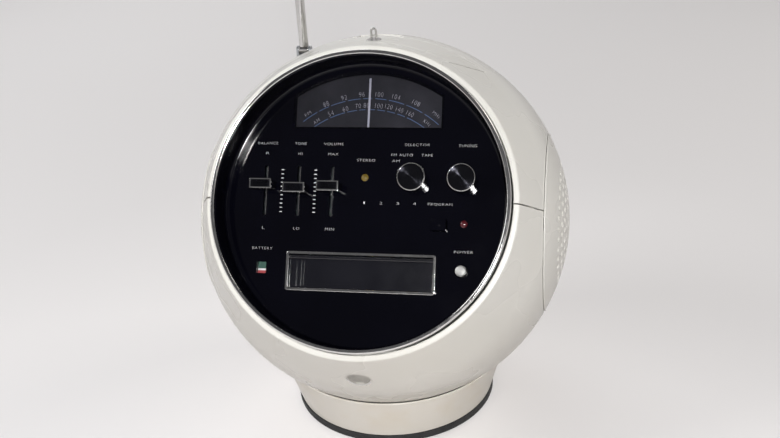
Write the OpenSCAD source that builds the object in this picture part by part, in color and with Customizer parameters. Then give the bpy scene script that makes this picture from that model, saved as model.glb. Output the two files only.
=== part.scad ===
// Ball-shaped 8 track player and radio on a round swivel base.
// World frame: +Z up, front at -Y, origin on the table under the swivel axis.
// Ball frame (module in_ball): x to the right, y up the tilted panel,
// z out through the panel, origin at the ball's centre.

/* [Ball] */
// Outer radius of the ball
ball_r = 142; // [138:0.5:150]
// Wall of the two half shells
wall = 3.5; // [3:0.1:4]
// Angle that the front panel leans back
tilt = 33; // [29:1:36]
// Gap between the two half shells
seam_gap = 0.6; // [0.4:0.1:0.8]
// Wall of the round end covers
cover_wall = 3; // [2.4:0.1:3.4]
// Radius of a round end cover
cover_r = 68.11; // [60:0.01:75]
// Gap around a round end cover
cap_gap = 0.3; // [0.2:0.05:0.5]

/* [Front opening] */
// Outer radius of the white lip round the panel
lip_r = 109.6; // [108:0.2:111]
// How far the lip's face lies behind the ball's foremost point
lip_drop = 42.4; // [38:0.2:46]
// Width of the lip's flat face
lip_w = 4; // [3:0.2:4.6]
// How much wider than its lip the collar is where it leaves the ball
collar_out = 15.06; // [12:0.02:18]
// Thickness of the ledge that carries the panel
ledge_t = 3; // [2.4:0.2:3.6]
// Inward reach of the ledge
ledge_w = 7; // [6:0.5:8]

/* [Chrome ring] */
// Gap between the lip and the chrome ring
ring_gap = 0.8; // [0.6:0.1:1]
// Wall of the chrome ring
ring_t = 1.9; // [1.6:0.1:2.2]
// How far the ring stands out past the lip
ring_out = 8.1; // [7:0.1:9]

/* [Panel] */
// Depth of the printed face behind the lip
panel_in = 15.2; // [13:0.2:17]
// Thickness of the panel
panel_t = 3; // [2.6:0.2:3.4]
// Wall of the black well round the printed face
well_t = 1.5; // [1.2:0.1:1.8]
// Radius of a panel screw
panel_screw_r = 1.5; // [1.2:0.1:1.6]
// Number of panel screws
panel_screws_n = 6; // [4:1:8]

/* [Dial] */
// Half width of the dial window
window_w = 54.2; // [52:0.2:55]
// Height of the window's lower edge above the panel's centre
window_low = 53.4; // [52:0.2:55]
// Width of the panel left above the window's arched top
window_rim = 8; // [6:0.2:10]
// Thickness of the window pane
pane_t = 1.6; // [1.2:0.1:1.8]
// Overlap of the pane on its seat
pane_seat = 1.5; // [1:0.1:2]
// Space between the pointer's tip and the window's arched top
pointer_gap = 3.8; // [2:0.2:6]
// Width of the dial pointer
pointer_w = 1.4; // [1.2:0.1:1.8]
// Thickness of the dial pointer
pointer_t = 0.8; // [0.6:0.1:1]

/* [Controls] */
// Pitch of the three slide controls
slide_pitch = 24.2; // [23:0.1:25]
// Place of the first slide control
slide_x = -72; // [-73:0.5:-71]
// Height of the middle of their travel
slide_y = 8.2; // [7:0.2:9]
// Travel of a slide control
slide_travel = 30; // [28:1:31]
// Width of a slide knob
slide_w = 15.8; // [14:0.2:17]
// Height of a slide knob
slide_h = 7.1; // [6:0.1:8]
// How far the knobs stand out of the printed face
knob_out = 14; // [12:0.5:15]
// Radius of the two round knobs
knob_r = 9.8; // [9:0.1:10.5]
// Radius of a knob shaft
shaft_r = 3; // [2.5:0.1:3.2]
// Running clearance of a shaft in its bore
run = 0.05; // [0.03:0.01:0.08]
// Place of the selector knob
selector_x = 35; // [34:0.5:36]
// Place of the tuning knob
tuning_x = 69.7; // [69:0.5:71]
// Height of both round knobs
knob_y = 17.8; // [17:0.2:19]
// Radius of the power button
power_r = 3.9; // [3.4:0.1:4.4]
// How far the push buttons stand out
button_out = 6; // [5:0.5:7]
// Travel of a push button
button_travel = 3; // [2:0.5:3.5]
// Width of the program button
program_w = 10.8; // [10:0.2:12]
// Height of the program button
program_h = 8.2; // [7:0.2:9]
// Radius of an indicator lamp
lamp_r = 2.6; // [2:0.1:3]

/* [Tape deck] */
// Half width of the cartridge slot
slot_w = 51.4; // [51.2:0.1:52]
// Height of the cartridge slot
slot_h = 24; // [23.5:0.5:25]
// Height of the slot's middle
slot_y = -48.7; // [-49:0.1:-48]
// Border of the bright slot frame
frame_w = 2; // [1.6:0.1:2.4]
// How far the slot frame stands out
frame_out = 2.5; // [2:0.1:3]
// Thickness of the flap
flap_t = 1.6; // [1.4:0.1:1.8]
// Radius of the flap's hinge pin
flap_pin_r = 1; // [0.8:0.1:1.1]
// Depth of the cartridge bay behind the panel
bay_l = 100; // [98:1:104]
// Thickness of the metal chassis
chassis_t = 2; // [1.6:0.2:2.4]
// Radius of the flywheel
flywheel_r = 38; // [36:0.5:40]
// Thickness of the flywheel
flywheel_t = 7; // [6:0.5:8]
// Radius of the capstan
capstan_r = 1.5; // [1.2:0.1:1.6]
// Radius of the motor pulley
pulley_r = 6; // [5.5:0.5:6.5]
// Thickness of the drive belt
belt_t = 0.8; // [0.6:0.1:1]
// Radius of the motor's can
motor_r = 17; // [16:0.5:18]
// Height of the motor's can
motor_l = 28; // [24:1:30]

/* [Speakers and battery] */
// Space between a round cover's rim and the speaker's frame
speaker_in = 6.11; // [5:0.01:8]
// Width of the seat of a speaker or the battery can
seat_w = 6; // [4:0.5:8]
// Wall of the battery can
can_t = 2; // [1.6:0.1:2.4]
// Gap between the battery can and the hole in its ledge
can_gap = 2.5; // [1.5:0.1:3]
// Radius of a hole in the speaker grille
grille_hole_r = 1.5; // [1.2:0.1:1.8]
// Pitch of the rings of grille holes
grille_pitch = 7.4; // [7:0.2:7.8]
// Number of rings of grille holes
grille_rings = 6; // [4:1:6]
// Play of the ring of battery cells in their can
cell_room = 2.3; // [1.5:0.1:3]
// Length of a battery cell
cell_l = 61.5; // [60:0.5:62]
// Number of battery cells
cells_n = 6; // [5:1:6]

/* [Handle] */
// Depth of the handle's underside below the top of the ball
handle_depth = 41; // [38:0.5:44]
// Rear edge of the handle
handle_back = 60; // [58:1:62]
// Front edge of the handle
handle_front = 86; // [84:0.5:87]
// Gap round the handle
handle_gap = 0.4; // [0.3:0.1:0.6]
// Travel of the handle
handle_travel = 20; // [16:1:21]
// Radius of the handle's rods
rod_r = 4; // [3.5:0.1:4.5]
// Place of the handle's rods to each side
rod_x = 62; // [61:0.5:63]
// Width of the finger pit
pit_w = 32; // [28:1:36]

/* [Antenna] */
// Radius of the widest antenna tube
whip_r = 3.5; // [3.3:0.1:3.6]
// Length of the widest antenna tube
whip_l = 150; // [140:5:155]
// Wall of an antenna tube
whip_wall = 0.5; // [0.4:0.05:0.55]

/* [Base] */
// How far the drum's rim stands out from the ball above it
drum_out = 2.5; // [2.2:0.1:3.5]
// Outer radius of the drum at its foot
drum_low_r = 80.5; // [78:0.5:83]
// Wall of the drum
drum_wall = 3.5; // [3:0.1:4]
// Height of the drum's rim above the ball's lowest point
drum_rise = 31; // [28:0.5:34]
// Height of the rubber foot ring
foot_h = 6; // [5:0.2:7]
// Thickness of the drum's floor
floor_t = 2.6; // [2:0.2:3]
// Gap between the ball and the drum's floor
floor_gap = 3.4; // [2.4:0.2:4.4]
// Radius of the swivel stud
stud_r = 8; // [7:0.5:9]

/* [Hidden] */
$fn = 96;
big = 400;
eps = 0.01;

ball_h = foot_h + floor_t + floor_gap + ball_r;
in_r = ball_r - wall;
opening_r = lip_r - lip_w;
lip_d = ball_r - lip_drop;
ring_r = opening_r - ring_gap;
ring_front = lip_d + ring_out;
well_r = ring_r - ring_t - 0.1;
panel_d = lip_d - panel_in;
panel_back = panel_d - panel_t;
window_r = well_r - window_rim;
pointer_l = window_r - pointer_gap;
collar_r = lip_r + collar_out;
collar_d = sqrt(ball_r * ball_r - collar_r * collar_r);
collar_slope = (collar_r - lip_r) / (lip_d - collar_d);
cap_d = sqrt(ball_r * ball_r - cover_r * cover_r);
cover_seat = cap_d - 4.6;
ledge_d = cover_seat - 2;
speaker_r = cover_r - speaker_in;
ledge_hole_r = speaker_r - seat_w;
handle_low = ball_r - handle_depth;
drum_top_d = ball_r - drum_rise;
drum_top_r = sqrt(ball_r * ball_r - drum_top_d * drum_top_d) + drum_out;
// Ring of panel screws, clear of the chrome ring
screw_ring_r = ring_r - ring_t - panel_screw_r - 0.5;
white = "#E9E6DC";
dark = "#0B0B10";
chrome = "#C9CBCE";
steel = "#9A9DA1";

module in_ball() {
    translate([0, 0, ball_h]) rotate([90 - tilt, 0, 0]) children();
}
// From the tilted ball frame back to one that stands upright
module upright() {
    rotate([tilt - 90, 0, 0]) children();
}
module at_centre() {
    translate([0, 0, ball_h]) children();
}
module on_right() {
    at_centre() rotate([0, 90, 0]) children();
}
module on_left() {
    at_centre() rotate([0, -90, 0]) children();
}
module on_rear() {
    at_centre() rotate([-90, 0, 0]) children();
}
// Box from its lowest and highest corners
module block(a, b) {
    translate(a) cube([b[0] - a[0], b[1] - a[1], b[2] - a[2]]);
}
module tube(ro, ri, l) {
    difference() {
        cylinder(r = ro, h = l);
        translate([0, 0, -eps]) cylinder(r = ri, h = l + 2 * eps);
    }
}

// ---------------------------------------------------------------- base
rim_gap = 0.7;
glide_gap = 0.3;
bearing_h = 5;
bearing_down = 10;
bearing_ledge_t = 3;
bearing_r = drum_top_r - 5;
bearing_in = bearing_r - 8;
drum_top = ball_h - drum_top_d;
bearing_z = drum_top - bearing_down;
function drum_r(z) = drum_low_r + (drum_top_r - drum_low_r) * (z - foot_h) / (drum_top - foot_h);
// Slice of the drum's cone between two heights, drawn in by an inset
module drum_cone(z1, z2, inset) {
    translate([0, 0, z1]) cylinder(r1 = drum_r(z1) - inset, r2 = drum_r(z2) - inset, h = z2 - z1);
}
module base_drum() {
    color(white) difference() {
        drum_cone(foot_h, drum_top, 0);
        // hollow, the ledge over it, the seat of the bearing ring and the room for the ball
        drum_cone(foot_h + floor_t, bearing_z - bearing_ledge_t, drum_wall);
        translate([0, 0, foot_h + floor_t]) cylinder(r = bearing_in - 1, h = big);
        translate([0, 0, bearing_z]) cylinder(r = bearing_r, h = big);
        at_centre() sphere(r = ball_r + rim_gap, $fn = 180);
        translate([0, 0, foot_h - 1]) cylinder(r = stud_r + run, h = floor_t + 2);
    }
}
module bearing_ring() {
    color("#15161A") difference() {
        translate([0, 0, bearing_z]) tube(bearing_r, bearing_in, bearing_h);
        at_centre() sphere(r = ball_r + glide_gap, $fn = 180);
    }
}
foot_w = 13;
module foot_ring() {
    color("#141414") tube(drum_low_r + 0.8, drum_low_r - foot_w, foot_h);
}
stud_flange_t = 2.4;
stud_nut_t = 4.4;
bush_top = ball_r - 13;
bush_wall = 3;
module swivel_stud() {
    color(steel) {
        translate([0, 0, foot_h - stud_flange_t]) cylinder(r = 2 * stud_r, h = stud_flange_t);
        translate([0, 0, foot_h - stud_flange_t])
            cylinder(r = stud_r, h = ball_h - bush_top + 0.3 + stud_nut_t - foot_h + stud_flange_t);
        translate([0, 0, ball_h - bush_top + 0.3]) cylinder(r = stud_r + 5, h = stud_nut_t);
    }
}

// ---------------------------------------------------------------- shells
collar_root = 4;
module collar() {
    translate([0, 0, collar_d - collar_root])
        cylinder(r1 = collar_r + collar_root * collar_slope, r2 = lip_r, h = lip_d - collar_d + collar_root);
}
module ball_outside() {
    union() {
        sphere(r = ball_r, $fn = 180);
        collar();
    }
}
// Ring inside the ball, behind a round end cover
cover_ledge_t = 3;
cover_ledge_r = (sqrt(in_r * in_r - pow(ledge_d - cover_ledge_t, 2)) + sqrt(ball_r * ball_r - ledge_d * ledge_d)) / 2;
module cover_ledge() {
    translate([0, 0, ledge_d - cover_ledge_t]) tube(cover_ledge_r, ledge_hole_r, cover_ledge_t);
}
pocket_floor = handle_low - handle_gap;
over_well_r = opening_r + 3.6;
pit_back = handle_back - 12;
pit_low = ball_r - 30;
module handle_space(grow) {
    difference() {
        block([-90, pocket_floor - grow, handle_back - handle_gap - grow],
              [90, big, handle_front + handle_gap + grow]);
        cylinder(r = over_well_r - grow, h = big);
    }
}
module pit_space(grow) {
    block([-pit_w / 2 - grow, pit_low - grow, pit_back - grow],
          [pit_w / 2 + grow, big, handle_back - handle_gap + grow]);
}
whip_x = -60;
whip_y = 28;
whip_surface = sqrt(ball_r * ball_r - whip_x * whip_x - whip_y * whip_y);
whip_floor = whip_surface - 21.62;
whip_well_r = 13;
module whip_spot(z) {
    translate([whip_x, whip_y, z]) children();
}
module at_whip(z) {
    at_centre() whip_spot(z) children();
}
sleeve_r = rod_r + 2.5;
sleeve_low = handle_low - handle_travel - 10;
rod_z = handle_back + 6;
module rod_bores(r, low) {
    for (s = [-1, 1]) translate([s * rod_x, low, rod_z]) rotate([-90, 0, 0]) cylinder(r = r, h = big);
}
module panel_ledge() {
    translate([0, 0, panel_back - ledge_t]) difference() {
        cylinder(r = big, h = ledge_t);
        translate([0, 0, -1]) cylinder(r = opening_r - ledge_w, h = ledge_t + 2);
    }
}
// Hollow of the ball, less what stands out from its inner side
module ball_inside() {
    difference() {
        sphere(r = in_r, $fn = 180);
        handle_space(wall - 0.5);
        pit_space(wall - 0.5);
        rod_bores(sleeve_r, sleeve_low);
        panel_ledge();
        upright() whip_spot(whip_floor - 3) cylinder(r = whip_well_r + 2.5, h = big);
    }
}
module shell_body() {
    difference() {
        ball_outside();
        ball_inside();
        handle_space(0);
        pit_space(0);
        // opening for the panel, in front of and behind the ledge
        translate([0, 0, panel_back]) cylinder(r = opening_r, h = big);
        translate([0, 0, collar_d - 20]) cylinder(r = opening_r - ledge_w, h = big);
        rod_bores(rod_r + run, sleeve_low - 1);
        for (i = [0:panel_screws_n - 1]) rotate([0, 0, 360 / panel_screws_n * (i + 0.5)])
            translate([screw_ring_r, 0, panel_back - 2 * ledge_t])
                cylinder(r = panel_screw_r, h = 3 * ledge_t);
        rotate([jack_angle, 0, 0]) cylinder(r = jack_r, h = big);
        rotate([jack_angle, 0, 0]) translate([0, 0, jack_seat]) cylinder(r = jack_flange, h = big);
        upright() {
            for (s = [-1, 1]) rotate([0, s * 90, 0]) translate([0, 0, cap_d]) cylinder(r = big, h = big);
            rotate([-90, 0, 0]) translate([0, 0, cap_d]) cylinder(r = big, h = big);
            whip_spot(whip_floor) cylinder(r = whip_well_r, h = big);
            whip_spot(whip_floor - 4) cylinder(r = turret_post_r + run, h = 8);
            rotate([0, 0, socket_turn]) rotate([0, 90, 0]) {
                translate([0, 0, socket_d]) cylinder(r = big, h = big);
                translate([0, 0, in_r - 20]) cylinder(r = socket_r, h = big);
            }
        }
    }
}
module half(up, gap) {
    translate([-big / 2, up ? gap / 2 : -big - gap / 2, -big / 2]) cube([big, big, big]);
}
module half_ledges(up) {
    intersection() {
        upright() {
            for (s = [-1, 1]) rotate([0, s * 90, 0]) cover_ledge();
            rotate([-90, 0, 0]) cover_ledge();
        }
        half(up, seam_gap + 0.2);
    }
}
module upper_shell() {
    color(white) {
        in_ball() {
            intersection() {
                shell_body();
                half(true, seam_gap);
            }
            half_ledges(true);
        }
        hinge_lugs();
    }
}
// Foot of the bush, inside the shell's wall
bush_foot = ball_r - wall / 2 + 0.25;
module lower_shell() {
    color(white) in_ball() {
        difference() {
            union() {
                intersection() {
                    shell_body();
                    half(false, seam_gap);
                }
                upright() translate([0, 0, -bush_foot])
                    cylinder(r = stud_r + bush_wall, h = bush_foot - bush_top);
                intersection() {
                    sphere(r = ball_r - 1, $fn = 180);
                    chassis_posts();
                }
            }
            upright() translate([0, 0, -ball_r - 1]) cylinder(r = stud_r + run, h = ball_r - bush_top + 2);
        }
        half_ledges(false);
    }
}

// ---------------------------------------------------------------- panel
module chrome_ring() {
    color(chrome) in_ball() rotate_extrude($fn = 180) union() {
        translate([ring_r - ring_t, panel_back])
            square([ring_t, ring_front - panel_back - ring_t]);
        translate([ring_r - ring_t - 1.2, ring_front - ring_t - 0.6])
            square([ring_t + 1.2 - 0.8, ring_t + 0.6]);
        translate([ring_r - 0.8 - eps, ring_front - ring_t - 0.6]) square([0.8 + eps, ring_t - 0.2]);
        translate([ring_r - 0.8, ring_front - 0.8]) circle(r = 0.8, $fn = 32);
    }
}
well_front = ring_front - ring_t - 0.7;
module window_shape(grow) {
    intersection() {
        circle(r = window_r + grow, $fn = 180);
        translate([-window_w - grow, window_low - grow]) square([2 * window_w + 2 * grow, window_r]);
    }
}
slot_open_w = slot_w + 1.2;
slot_open_h = slot_h + 2.4;
slot_len = slide_travel + 6;
program_x = 54;
program_y = -14;
power_x = 70.8;
power_y = -45.5;
stereo_x = 0.2;
stereo_y = 18.5;
red_x = 71.2;
red_y = -12.8;
meter_x = -71.8;
meter_y = -47;
meter_w = 7;
meter_h = 8;
module rect(w, h) {
    translate([-w / 2, -h / 2]) square([w, h]);
}
module front_panel() {
    color(dark) in_ball() difference() {
        union() {
            translate([0, 0, panel_back]) cylinder(r = well_r, h = panel_t, $fn = 180);
            translate([0, 0, panel_back]) tube(well_r, well_r - well_t, well_front - panel_back, $fn = 180);
        }
        translate([0, 0, panel_d - pane_t]) linear_extrude(big) window_shape(0);
        translate([0, 0, panel_back - 1]) linear_extrude(big) window_shape(-pane_seat);
        for (i = [0:2]) translate([slide_x + i * slide_pitch, slide_y, panel_back - 1])
            linear_extrude(big) rect(2.6, slot_len);
        for (x = [selector_x, tuning_x]) translate([x, knob_y, panel_back - 1])
            cylinder(r = shaft_r + 0.5, h = big);
        translate([power_x, power_y, panel_back - 1]) cylinder(r = power_r + 0.3, h = big);
        translate([program_x, program_y, panel_back - 1])
            linear_extrude(big) rect(program_w + 0.6, program_h + 0.6);
        for (p = [[stereo_x, stereo_y], [red_x, red_y]]) translate([p[0], p[1], panel_back - 1])
            cylinder(r = lamp_r, h = big);
        translate([meter_x, meter_y, panel_back - 1]) linear_extrude(big) rect(meter_w, meter_h);
        translate([0, slot_y, panel_back - 1]) linear_extrude(big) rect(2 * slot_open_w, slot_open_h);
        for (i = [0:panel_screws_n - 1]) rotate([0, 0, 360 / panel_screws_n * (i + 0.5)])
            translate([screw_ring_r, 0, panel_back - 1])
                cylinder(r = panel_screw_r, h = 3);
    }
}
module panel_screws() {
    color(steel) in_ball() for (i = [0:panel_screws_n - 1])
        rotate([0, 0, 360 / panel_screws_n * (i + 0.5)])
            translate([screw_ring_r, 0, 0]) {
                translate([0, 0, panel_back - ledge_t]) cylinder(r = panel_screw_r, h = ledge_t + 2);
                translate([0, 0, panel_back - ledge_t - 2]) cylinder(r = 2 * panel_screw_r, h = 2);
            }
}
module dial_window() {
    color("#30343C") in_ball() translate([0, 0, panel_d - pane_t]) linear_extrude(pane_t - 0.2)
        window_shape(-0.1);
}
scale_front = panel_back - 2;
scale_t = 1.2;
board_front = panel_back - 19.4;
board_t = 1.6;
box_w = window_w + 0.6;
module light_shape(inset) {
    intersection() {
        circle(r = window_r + 1.2 - inset, $fn = 180);
        translate([-box_w + inset, window_low - 2 + inset]) square([2 * (box_w - inset), window_r]);
    }
}
module dial_scale() {
    color("#3A3B40") in_ball() translate([0, 0, scale_front - scale_t]) linear_extrude(scale_t)
        light_shape(0);
}
module dial_lightbox() {
    color("#D8D8D0") in_ball() translate([0, 0, board_front])
        linear_extrude(scale_front - scale_t - board_front) difference() {
            light_shape(0);
            light_shape(1.5);
        }
}
module lamps() {
    in_ball() {
        color("#C98A2A") translate([stereo_x, stereo_y, panel_back]) cylinder(r = lamp_r, h = panel_t + 0.5);
        color("#7A1418") translate([red_x, red_y, panel_back]) cylinder(r = lamp_r, h = panel_t + 0.5);
        for (s = [-1, 1]) color("#F2E6B8") translate([s * 30, window_low + 14, board_front])
            cylinder(r = 3, h = 13);
    }
}
module dial_pointer() {
    color("white") in_ball() translate([0, 0, scale_front + 0.6]) {
        translate([-pointer_w / 2, 0, 0]) cube([pointer_w, pointer_l, pointer_t]);
        cylinder(r = 4, h = pointer_t);
        translate([0, 0, board_front + 0.5 - scale_front - 0.6])
            cylinder(r = 1.5, h = scale_front + 0.6 - board_front - 0.5 + eps);
    }
}

// ---------------------------------------------------------------- controls
module slide_pots() {
    color(steel) in_ball() for (i = [0:2])
        translate([slide_x + i * slide_pitch, slide_y, board_front]) difference() {
            linear_extrude(scale_front - board_front) rect(10, slide_travel + 34);
            translate([0, 0, 2]) linear_extrude(big) rect(7, slide_travel + 26);
        }
}
module slider(i, rest) {
    color(chrome) in_ball() translate([slide_x + i * slide_pitch, slide_y + rest, 0]) {
        translate([0, 0, panel_d + 0.5]) linear_extrude(knob_out - 0.5) difference() {
            rect(slide_w, slide_h);
            for (s = [-1, 1]) for (t = [-1, 1]) translate([s * slide_w / 2, t * slide_h / 2])
                difference() {
                    rect(1, 1);
                    translate([-s * 0.5, -t * 0.5]) circle(r = 0.5, $fn = 16);
                }
        }
        translate([0, 0, board_front + 6]) linear_extrude(panel_d + 0.6 - board_front - 6) rect(1.6, 5);
        translate([0, 0, board_front + 3]) linear_extrude(9) rect(6, 8);
    }
}
balance_rest = 3.2;
tone_rest = 0.8;
volume_rest = 2.3;
module balance_slider() {
    slider(0, balance_rest);
}
module tone_slider() {
    slider(1, tone_rest);
}
module volume_slider() {
    slider(2, volume_rest);
}
module round_knob(shaft_end) {
    translate([0, 0, panel_d + 0.8]) cylinder(r = knob_r, h = knob_out - 1.6);
    translate([0, 0, panel_d + knob_out - 0.8]) cylinder(r1 = knob_r, r2 = knob_r - 0.8, h = 0.8);
    translate([0, 0, shaft_end]) cylinder(r = shaft_r, h = panel_d + 1 - shaft_end);
}
module selector_knob() {
    color("#24252A") in_ball() translate([selector_x, knob_y, 0]) round_knob(board_front + 2);
}
module tuning_knob() {
    color("#24252A") in_ball() translate([tuning_x, knob_y, 0]) round_knob(board_front + 2);
}
switch_w = 28;
switch_t = 13;
module selector_switch() {
    color("#B08A4A") in_ball() translate([0, 0, board_front]) difference() {
        union() {
            translate([selector_x, knob_y, 0]) linear_extrude(switch_t) rect(switch_w, switch_w);
            translate([tuning_x, knob_y, 0]) linear_extrude(switch_t - 3) rect(switch_w / 2, switch_w / 2);
        }
        for (x = [selector_x, tuning_x]) translate([x, knob_y, 1.9]) cylinder(r = shaft_r + run, h = big);
    }
}
module push_switches() {
    color("#2B2D31") in_ball() for (p = [[program_x, program_y, 12], [power_x, power_y, 12]])
        translate([p[0], p[1], board_front]) difference() {
            linear_extrude(panel_back - 3 - board_front) rect(p[2] + 3, p[2]);
            translate([0, 0, 4]) linear_extrude(big) rect(p[2], p[2] - 3);
        }
}
button_end = board_front + 4.2 + button_travel;
module program_button() {
    color("#131318") in_ball() translate([program_x, program_y, button_end])
        linear_extrude(panel_d + button_out - button_end) rect(program_w, program_h);
}
module power_button() {
    color(chrome) in_ball() translate([power_x, power_y, 0]) {
        translate([0, 0, button_end]) cylinder(r = power_r, h = panel_d + button_out - button_end);
    }
}
module battery_meter() {
    color("#202226") in_ball() translate([meter_x, meter_y, board_front]) difference() {
        linear_extrude(panel_back - board_front) rect(16, 18);
        translate([0, 0, 8]) linear_extrude(big) rect(13, 15);
        translate([0, -5, 5]) cylinder(r = 0.8 + run, h = big);
    }
}
module meter_needle() {
    color("#B03028") in_ball() translate([meter_x, meter_y - 5, board_front + 5.2]) {
        cylinder(r = 0.8, h = 7);
        translate([-0.5, 0, 6]) cube([1, 10, 1]);
    }
}

// ---------------------------------------------------------------- tape deck
slot_low = slot_y - slot_h / 2;
slot_top = slot_y + slot_h / 2;
flap_axis_y = slot_top - 2.1;
flap_axis_z = panel_d - 1.2;
knuckle_r = flap_pin_r + 0.8;
module cartridge_frame() {
    color(chrome) in_ball() {
        translate([0, slot_y, 0]) difference() {
            union() {
                translate([0, 0, panel_d]) linear_extrude(frame_out)
                    rect(2 * (slot_w + frame_w), slot_h + 2 * frame_w);
                translate([0, 0, panel_back]) linear_extrude(panel_t + 0.1)
                    rect(2 * slot_open_w, slot_open_h);
            }
            translate([0, 0, panel_back - 1]) linear_extrude(big) rect(2 * slot_w, slot_h);
        }
        translate([-slot_w, flap_axis_y, flap_axis_z]) rotate([0, 90, 0])
            cylinder(r = flap_pin_r, h = 2 * slot_w);
    }
}
module cartridge_flap() {
    color("#17171D") in_ball() difference() {
        union() {
            translate([-slot_w + 0.4, slot_low + 0.4, flap_axis_z - flap_t / 2])
                cube([2 * slot_w - 0.8, flap_axis_y - slot_low - 0.4, flap_t]);
            translate([-slot_w + 0.4, flap_axis_y, flap_axis_z]) rotate([0, 90, 0])
                cylinder(r = knuckle_r, h = 2 * slot_w - 0.8);
        }
        translate([-slot_w - 1, flap_axis_y, flap_axis_z]) rotate([0, 90, 0])
            cylinder(r = flap_pin_r + run, h = 2 * slot_w + 2);
    }
}
tray_floor = slot_low - 0.3;
tray_t = 2.9;
tray_back = panel_back - bay_l;
chassis_top = tray_floor - tray_t;
capstan_x = 22;
capstan_z = tray_back + 10;
bearing_post_r = 5;
module cartridge_tray() {
    color("#8E9196") in_ball() difference() {
        block([-slot_w - 2, chassis_top, tray_back], [slot_w + 2, slot_top + 2, panel_back]);
        block([-slot_w - 0.2, tray_floor, tray_back + 2], [slot_w + 0.2, slot_top + 0.3, panel_back + 1]);
        block([-slot_w + 14, tray_floor, tray_back + 2], [slot_w - 14, big, panel_back - 30]);
        block([-20, tray_floor, tray_back - 1], [12, big, tray_back + 3]);
        translate([capstan_x, chassis_top - 1, capstan_z]) rotate([-90, 0, 0])
            cylinder(r = bearing_post_r + 0.3, h = tray_t + 2);
        for (s = [-1, 1]) translate([head_x + s * 7, chassis_top - 1, head_z]) rotate([-90, 0, 0])
            cylinder(r = 1.5, h = tray_t + 2);
    }
}
head_x = -4;
head_z = tray_back + 7;
head_travel = 0.8;
module head_carriage() {
    color("#C7A55A") in_ball() {
        difference() {
            block([head_x - 11, tray_floor + 2, head_z - 4], [head_x + 11, tray_floor + 18, head_z + 4]);
            for (s = [-1, 1]) translate([head_x + s * 7, tray_floor, head_z]) rotate([-90, 0, 0])
                cylinder(r = 1.5 + run, h = 30);
        }
        color(steel) block([head_x - 5, tray_floor + 6, head_z + 4], [head_x + 5, tray_floor + 14, head_z + 9]);
    }
}
chassis_w = slot_w + 10.6;
chassis_back = 46.5 - in_r;
cam_y = chassis_top + 12.2;
cam_z = tray_back - 14;
cam_r = 9;
module chassis() {
    color("#B9BBB4") in_ball() difference() {
        union() {
            block([-chassis_w, chassis_top - chassis_t, chassis_back], [chassis_w, chassis_top, panel_back]);
            // ears of the ratchet cam
            for (x = [head_x - 12, head_x + 2]) block([x, chassis_top - eps, cam_z - 5],
                [x + 2, cam_y + 4, cam_z + 5]);
            // guide pins of the head carriage
            for (s = [-1, 1]) translate([head_x + s * 7, chassis_top - 1, head_z]) rotate([-90, 0, 0])
                cylinder(r = 1.5, h = tray_t + 22);
        }
        translate([head_x - 20, cam_y, cam_z]) rotate([0, 90, 0]) cylinder(r = 1.5 + run, h = 40);
        translate([capstan_x, chassis_top - chassis_t - 1, capstan_z]) rotate([-90, 0, 0])
            cylinder(r = bearing_post_r, h = chassis_t + 2);
        for (p = motor_posts()) translate([p[0], chassis_top - chassis_t - 1, p[1]]) rotate([-90, 0, 0])
            cylinder(r = 1.2, h = chassis_t + 2);
    }
}
post_x = chassis_w - 10;
module chassis_posts() {
    for (s = [-1, 1]) for (z = [panel_back - 19.4, chassis_back + 14]) translate([s * post_x, -big, z]) rotate([-90, 0, 0])
        cylinder(r = 4, h = big + chassis_top - chassis_t);
}
module capstan_bearing() {
    color("#C9B37A") in_ball() translate([capstan_x, chassis_top - chassis_t, capstan_z]) rotate([-90, 0, 0])
        tube(bearing_post_r, capstan_r + run, chassis_t + tray_t + 6);
}
wheel_top = chassis_top - chassis_t - 3;
module flywheel() {
    color("#A9ABAD") in_ball() translate([capstan_x, wheel_top, capstan_z]) rotate([90, 0, 0]) {
        cylinder(r = flywheel_r, h = flywheel_t);
        translate([0, 0, -3 - chassis_t - tray_t - 20]) cylinder(r = capstan_r, h = 30 + chassis_t);
    }
}
motor_x = -42;
motor_z = capstan_z + 30;
function motor_posts() = [for (a = [85, 155, 225]) [motor_x + 13 * cos(a), motor_z + 13 * sin(a)]];
motor_top = wheel_top - flywheel_t - 2.5;
module motor() {
    color("#7D8086") in_ball() {
        difference() {
            translate([motor_x, motor_top, motor_z]) rotate([90, 0, 0]) cylinder(r = motor_r, h = motor_l);
            translate([motor_x, motor_top + 1, motor_z]) rotate([90, 0, 0]) cylinder(r = 1 + run, h = 12);
        }
        for (p = motor_posts()) translate([p[0], motor_top, p[1]]) rotate([-90, 0, 0])
            cylinder(r = 2.2, h = chassis_top - chassis_t - motor_top);
    }
}
belt_w = 4;
belt_y = wheel_top - flywheel_t / 2;
module motor_pulley() {
    color("#C9B37A") in_ball() translate([motor_x, belt_y, motor_z]) rotate([90, 0, 0]) {
        translate([0, 0, -flywheel_t / 2]) cylinder(r = pulley_r, h = flywheel_t);
        cylinder(r = 1, h = flywheel_t / 2 + 12);
    }
}
module belt_outline(grow) {
    hull() {
        translate([capstan_x, -capstan_z]) circle(r = flywheel_r + 0.3 + grow);
        translate([motor_x, -motor_z]) circle(r = pulley_r + 0.3 + grow, $fn = 32);
    }
}
module drive_belt() {
    color("#1B1B1B") in_ball() translate([0, belt_y - belt_w / 2, 0]) rotate([-90, 0, 0])
        linear_extrude(belt_w) difference() {
            belt_outline(belt_t);
            belt_outline(0);
        }
}
module ratchet_cam() {
    color("#E4DFCF") in_ball() translate([head_x - 8, cam_y, cam_z]) rotate([0, 90, 0]) {
        difference() {
            cylinder(r = cam_r, h = 4);
            for (a = [0:45:315]) rotate([0, 0, a]) translate([cam_r, 0, -1]) cylinder(r = 1.4, h = 6, $fn = 24);
        }
        translate([0, 0, -6]) cylinder(r = 1.5, h = 18);
    }
}
plunger_z = cam_z - 13.5;
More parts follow.
